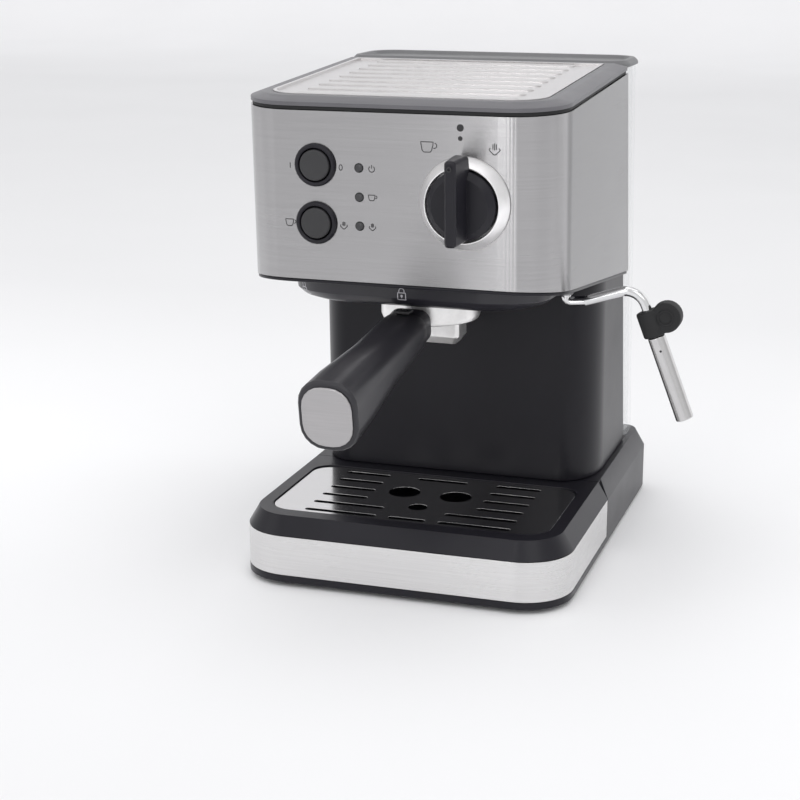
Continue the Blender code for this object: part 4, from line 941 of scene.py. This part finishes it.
class MACHINE_OT_portafilter(bpy.types.Operator):
    """Filter holder with its basket, spout, clip, handle and end cap"""
    bl_idname = "machine.portafilter"
    bl_label = "Filter holder"

    def execute(self, context):
        sizes = context.scene.machine_sizes
        for node in ("portafilter_body", "spout", "handle", "filter_basket"):
            dress(node, NODE_SLOTS[node], sizes.soft_edge)
        dress("basket_clip", "brushed_steel", sizes.sheet_edge,
              SPECIAL["black_sheet"])
        dress("handle_cap", "brushed_steel", sizes.sheet_edge,
              SPECIAL["cap_steel"])
        return {"FINISHED"}


class MACHINE_OT_tank(bpy.types.Operator):
    """Clear water tank and its lid"""
    bl_idname = "machine.tank"
    bl_label = "Water tank"

    def execute(self, context):
        sizes = context.scene.machine_sizes
        dress("water_tank", "clear_san", sizes.soft_edge)
        dress("tank_lid", "lid_abs", sizes.soft_edge)
        dress("water_inlet", NODE_SLOTS["water_inlet"], sizes.soft_edge)
        return {"FINISHED"}


class MACHINE_OT_wand(bpy.types.Operator):
    """Steam tube, its socket, rubber grip and frothing sleeve"""
    bl_idname = "machine.wand"
    bl_label = "Steam wand"

    def execute(self, context):
        sizes = context.scene.machine_sizes
        dress("wand_socket", NODE_SLOTS["wand_socket"], sizes.soft_edge)
        dress("steam_tube", "polished_chrome", 0.0)
        dress("wand_grip", "black_rubber", sizes.soft_edge * 1.4)
        dress("froth_sleeve", "brushed_steel", sizes.sheet_edge,
              SPECIAL["tube_steel"])
        self.add_air_hole_shade()
        self.add_thumb_ring()
        return {"FINISHED"}

    def add_thumb_ring(self):
        """Raised rim on the face of the thumb disc"""
        low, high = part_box("wand_grip")
        ahead = -TOWARDS_PANEL
        front = (low.y + high.y) / 2 - THUMB_DISC_AHEAD * MM
        middle = Vector((high.x - THUMB_DISC_RADIUS * MM, front, 0.0))
        surface = surface_of("wand_grip")
        heights = []
        for step in range(81):
            start = middle + UP * (low.z + (high.z - low.z) * step / 80)
            place, _, _, _ = surface.ray_cast(start + ahead * 0.02, -ahead)
            if place is not None and abs(place.y - front) < 0.1 * MM:
                heights.append(place.z)
        middle.z = (min(heights) + max(heights)) / 2
        turn = UP.rotation_difference(ahead).to_matrix().to_4x4()
        finish_piece(
            "thumb_rim",
            placed(turned(THUMB_RIM_PROFILE, 48),
                   Matrix.Translation(middle) @ turn),
            FINISHES["black_rubber"], "steam_wand",
        )

    def add_air_hole_shade(self):
        """A dark disc of painted shade in the small hole that lets air into the
        milk
        """
        low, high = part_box("froth_sleeve")
        radius = SLEEVE_RADIUS * MM
        lean = high.x - low.x - 2 * radius
        middle = Vector((
            low.x + radius + lean * (1.0 - AIR_HOLE_SHARE), 0.0,
            low.z + (high.z - low.z) * AIR_HOLE_SHARE,
        ))
        place, out = on_surface(
            surface_of("froth_sleeve"), middle - TOWARDS_PANEL, TOWARDS_PANEL,
        )
        turn = UP.rotation_difference(out).to_matrix().to_4x4()
        finish_piece(
            "froth_air_hole_painted_shade",
            placed(turned(AIR_HOLE_SHADE_PROFILE, 24),
                   Matrix.Translation(place) @ turn),
            SPECIAL["dark_ink_and_painted_shade"], "steam_wand",
        )


class MACHINE_OT_fixings(bpy.types.Operator):
    """Screws and blank plate underneath, level lines on the tank"""
    bl_idname = "machine.fixings"
    bl_label = "Fixings and level lines"

    def execute(self, context):
        underside = surface_of("bottom_plate")
        low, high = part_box("bottom_plate")
        inset = SCREW_INSET * MM
        middle = (low + high) / 2
        corners = [
            (middle.x + side * SCREW_ASIDE * MM, y)
            for side in (-1, 1) for y in (low.y + inset, high.y - inset)
        ]
        down = Matrix.Rotation(math.pi, 4, "X")
        for index, (x, y) in enumerate(corners):
            place, _ = on_surface(underside, Vector((x, y, -10.0 * MM)), UP)
            finish_piece(
                f"base_screw_{index + 1}",
                placed(turned(SCREW_PROFILE, 32),
                       Matrix.Translation(place) @ down),
                SPECIAL["tube_steel"], "machine",
            )
        place, _ = on_surface(
            underside, Vector((middle.x, middle.y, -10.0 * MM)), UP,
        )
        plate = bmesh.new()
        bmesh.ops.create_cube(plate, size=1.0)
        bmesh.ops.scale(plate, vec=[side * MM for side in PLATE_SIZE],
                        verts=plate.verts)
        finish_piece(
            "blank_rating_plate", placed(plate, Matrix.Translation(place)),
            SPECIAL["cap_steel"], "machine", (), 0.0002,
        )
        marks = [
            ((DATUM + Vector((50.0 * MM, 300.0 * MM, z * MM)), -RIGHTWARDS),
             LEVEL_LINE)
            for z in LEVEL_LINE_HEIGHTS
        ]
        print_marks("tank_level_lines", "water_tank", marks,
                    SPECIAL["dark_ink_and_painted_shade"], -TOWARDS_PANEL)
        return {"FINISHED"}


def studio_room(strength):
    """Even light, with softer and darker panels that only gloss picks up."""
    world = bpy.data.worlds.new("studio_room")
    world.use_nodes = True
    tree = world.node_tree
    back = tree.nodes["Background"]
    back.inputs["Color"].default_value = linear("#FCFCFD")
    way = add_node(tree, "ShaderNodeTexCoord")
    parts = add_node(tree, "ShaderNodeSeparateXYZ", {
        "Vector": way.outputs["Generated"],
    })
    ahead = add_node(tree, "ShaderNodeMath", {
        0: parts.outputs["Y"], 1: -1.0,
    }, operation="MULTIPLY")
    turn = add_node(tree, "ShaderNodeMath", {
        0: parts.outputs["X"], 1: ahead.outputs["Value"],
    }, operation="ARCTAN2")
    share = add_node(tree, "ShaderNodeMapRange", {
        "Value": turn.outputs["Value"], "From Min": -math.pi,
        "From Max": math.pi, "To Min": 0.0, "To Max": 1.0,
    })
    panels = add_node(tree, "ShaderNodeValToRGB", {
        "Fac": share.outputs["Result"],
    })
    stops = panels.color_ramp.elements
    for index, (degrees, level) in enumerate(ROOM):
        place = (degrees + 180.0) / 360.0
        if index == 0:
            stop = stops[0]
        elif index == len(ROOM) - 1:
            stop = stops[-1]
            stop.position = place
        else:
            stop = stops.new(place)
        # ramps hold up to 1, so brightness is kept halved
        stop.color = (level / 2, level / 2, level / 2, 1.0)
    doubled = add_node(tree, "ShaderNodeMath", {
        0: panels.outputs["Color"], 1: 2.0 * strength,
    }, operation="MULTIPLY")
    rays = add_node(tree, "ShaderNodeLightPath")
    chosen = add_node(tree, "ShaderNodeMix", {
        "Factor": rays.outputs["Is Glossy Ray"], "A": strength,
        "B": doubled.outputs["Value"],
    })
    tree.links.new(chosen.outputs["Result"], back.inputs["Strength"])
    return world


class MACHINE_OT_stage(bpy.types.Operator):
    """Pale floor, studio light and camera"""
    bl_idname = "machine.stage"
    bl_label = "Stage"

    def execute(self, context):
        scene = context.scene
        settings = scene.stage_settings
        floor = bmesh.new()
        bmesh.ops.create_grid(floor, x_segments=1, y_segments=1,
                              size=FLOOR_REACH)
        far = [edge for edge in floor.edges
               if all(vert.co.y > 0.9 * FLOOR_REACH for vert in edge.verts)]
        for step in range(COVE_STEPS):
            turn = math.radians(90.0 * (step + 1) / COVE_STEPS)
            before = math.radians(90.0 * step / COVE_STEPS)
            out = bmesh.ops.extrude_edge_only(floor, edges=far)["geom"]
            fresh = [item for item in out if isinstance(item, bmesh.types.BMVert)]
            bmesh.ops.translate(floor, verts=fresh, vec=(
                0.0, COVE_RADIUS * (math.sin(turn) - math.sin(before)),
                COVE_RADIUS * (math.cos(before) - math.cos(turn)),
            ))
            far = [item for item in out if isinstance(item, bmesh.types.BMEdge)
                   and all(vert in fresh for vert in item.verts)]
        out = bmesh.ops.extrude_edge_only(floor, edges=far)["geom"]
        fresh = [item for item in out if isinstance(item, bmesh.types.BMVert)]
        bmesh.ops.translate(floor, verts=fresh, vec=(0.0, 0.0, WALL_HEIGHT))
        mesh = bpy.data.meshes.new("studio_floor")
        floor.to_mesh(mesh)
        floor.free()
        mesh.shade_smooth()
        # matt painted sweep, pale and even
        paper, tree, shader = new_material(
            "matt_white_sweep", Roughness=0.85, Specular_IOR_Level=0.2,
        )
        slow = grain(tree, 0.4, detail=2.0)
        place = add_node(tree, "ShaderNodeTexCoord")
        parts = add_node(tree, "ShaderNodeSeparateXYZ", {
            "Vector": place.outputs["Object"],
        })
        # painted light and shade: the sweep's colour is darker in front of and far
        # from the machine, and lighter round it and up the cove, standing in for
        # the fall of light
        share = spread(tree, parts.outputs["Y"], 0.0, 1.0, SWEEP_START,
                       SWEEP_END)
        tones = add_node(tree, "ShaderNodeValToRGB", {"Fac": share})
        stops = tones.color_ramp.elements
        stops.remove(stops[-1])
        for index, (place_y, level) in enumerate(SWEEP_PAINTED_LIGHT):
            along = (place_y - SWEEP_START) / (SWEEP_END - SWEEP_START)
            stop = stops.new(along) if index else stops[0]
            stop.color = (level, level, level, 1.0)
        tone = add_node(tree, "ShaderNodeVectorMath", {
            0: shaded(tree, slow.outputs["Fac"], linear("#F3F3F4"), 0.99, 1.01),
            1: tones.outputs["Color"],
        }, operation="MULTIPLY")
        tree.links.new(tone.outputs["Vector"], shader.inputs["Base Color"])
        mesh.materials.append(paper)
        sweep = bpy.data.objects.new("studio_floor", mesh)
        scene.collection.objects.link(sweep)

        scene.world = studio_room(settings.world_light)

        for name, place, width, height, share in SOFTBOXES:
            light = bpy.data.lights.new(name, "AREA")
            light.shape = "RECTANGLE"
            light.size = width
            light.size_y = height
            light.energy = settings.key_light * share
            lamp = bpy.data.objects.new(name, light)
            lamp.location = place
            way = LIGHT_TARGET - Vector(place)
            lamp.rotation_euler = way.to_track_quat("-Z", "Y").to_euler()
            scene.collection.objects.link(lamp)

        camera = bpy.data.cameras.new("camera")
        camera.sensor_width = 36.0
        camera.lens = settings.lens
        camera.clip_start = 0.05
        camera.clip_end = 50.0
        holder = bpy.data.objects.new("camera", camera)
        holder.location = DATUM + CAMERA_PLACE
        level = math.cos(settings.elevation)
        look = Vector((
            -math.sin(settings.azimuth) * level,
            math.cos(settings.azimuth) * level,
            -math.sin(settings.elevation),
        ))
        holder.rotation_euler = look.to_track_quat("-Z", "Y").to_euler()
        scene.collection.objects.link(holder)
        scene.camera = holder
        scene.view_settings.view_transform = "Standard"
        return {"FINISHED"}


class MACHINE_PT_parts(bpy.types.Panel):
    bl_idname = "MACHINE_PT_parts"
    bl_label = "Espresso machine"
    bl_space_type = "VIEW_3D"
    bl_region_type = "UI"
    bl_category = "Espresso"

    def draw(self, context):
        layout = self.layout
        for group in (context.scene.machine_sizes, context.scene.machine_colours,
                      context.scene.stage_settings):
            box = layout.box()
            for key in group.bl_rna.properties.keys():
                if key not in ("rna_type", "name"):
                    box.prop(group, key)
        for operator in OPERATORS:
            layout.operator(operator.bl_idname)


NODE_SLOTS = {
    "base_housing": "black_abs", "bottom_plate": "black_abs",
    "foot_front_left": "black_rubber", "foot_front_right": "black_rubber",
    "foot_rear_left": "black_rubber", "foot_rear_right": "black_rubber",
    "cord_gland": "black_abs", "water_inlet": "grey_nylon",
    "drip_tray": "black_abs", "tray_band": "brushed_steel",
    "drip_grid": "brushed_steel", "column_shell": "black_abs",
    "pump": "grey_nylon", "pump_mount": "black_rubber",
    "head_wrap": "brushed_steel", "head_pan": "black_abs",
    "head_back": "black_abs", "top_gasket": "black_rubber",
    "top_trim": "trim_abs", "warming_tray": "brushed_steel",
    "power_bezel": "black_abs", "brew_bezel": "black_abs",
    "power_button": "button_abs", "brew_button": "button_abs",
    "power_light": "light_lens", "brew_light": "light_lens",
    "steam_light": "light_lens", "knob_ring": "brushed_steel",
    "steam_knob": "black_abs", "knob_shaft": "brushed_steel",
    "steam_valve": "brass", "control_board": "circuit_board",
    "group_shroud": "shroud_abs", "group_head": "cast_aluminium",
    "group_seal": "black_rubber", "shower_screen": "brushed_steel",
    "screen_screw": "brushed_steel", "boiler": "cast_aluminium",
    "portafilter_body": "cast_aluminium", "filter_basket": "brushed_steel",
    "spout": "cast_aluminium", "handle": "handle_phenolic",
    "handle_cap": "brushed_steel", "basket_clip": "brushed_steel",
    "water_tank": "clear_san", "tank_lid": "lid_abs",
    "wand_socket": "grey_nylon", "steam_tube": "polished_chrome",
    "froth_sleeve": "brushed_steel", "wand_grip": "black_rubber",
    "pressure_pipe": "silicone_hose", "steam_pipe": "copper",
    "feed_hose": "silicone_hose",
}

OPERATORS = (
    MACHINE_OT_materials,
    MACHINE_OT_base,
    MACHINE_OT_column,
    MACHINE_OT_head,
    MACHINE_OT_controls,
    MACHINE_OT_symbols,
    MACHINE_OT_group,
    MACHINE_OT_portafilter,
    MACHINE_OT_tank,
    MACHINE_OT_wand,
    MACHINE_OT_fixings,
    MACHINE_OT_stage,
)
CLASSES = (MachineSizes, MachineColours, StageSettings) + OPERATORS + (
    MACHINE_PT_parts,
)


def register():
    for item in CLASSES:
        bpy.utils.register_class(item)
    bpy.types.Scene.machine_sizes = PointerProperty(type=MachineSizes)
    bpy.types.Scene.machine_colours = PointerProperty(type=MachineColours)
    bpy.types.Scene.stage_settings = PointerProperty(type=StageSettings)


def unregister():
    del bpy.types.Scene.stage_settings
    del bpy.types.Scene.machine_colours
    del bpy.types.Scene.machine_sizes
    for item in reversed(CLASSES):
        bpy.utils.unregister_class(item)


def main():
    register()
    for operator in OPERATORS:
        group, name = operator.bl_idname.split(".")
        getattr(getattr(bpy.ops, group), name)()


if __name__ == "__main__":
    main()
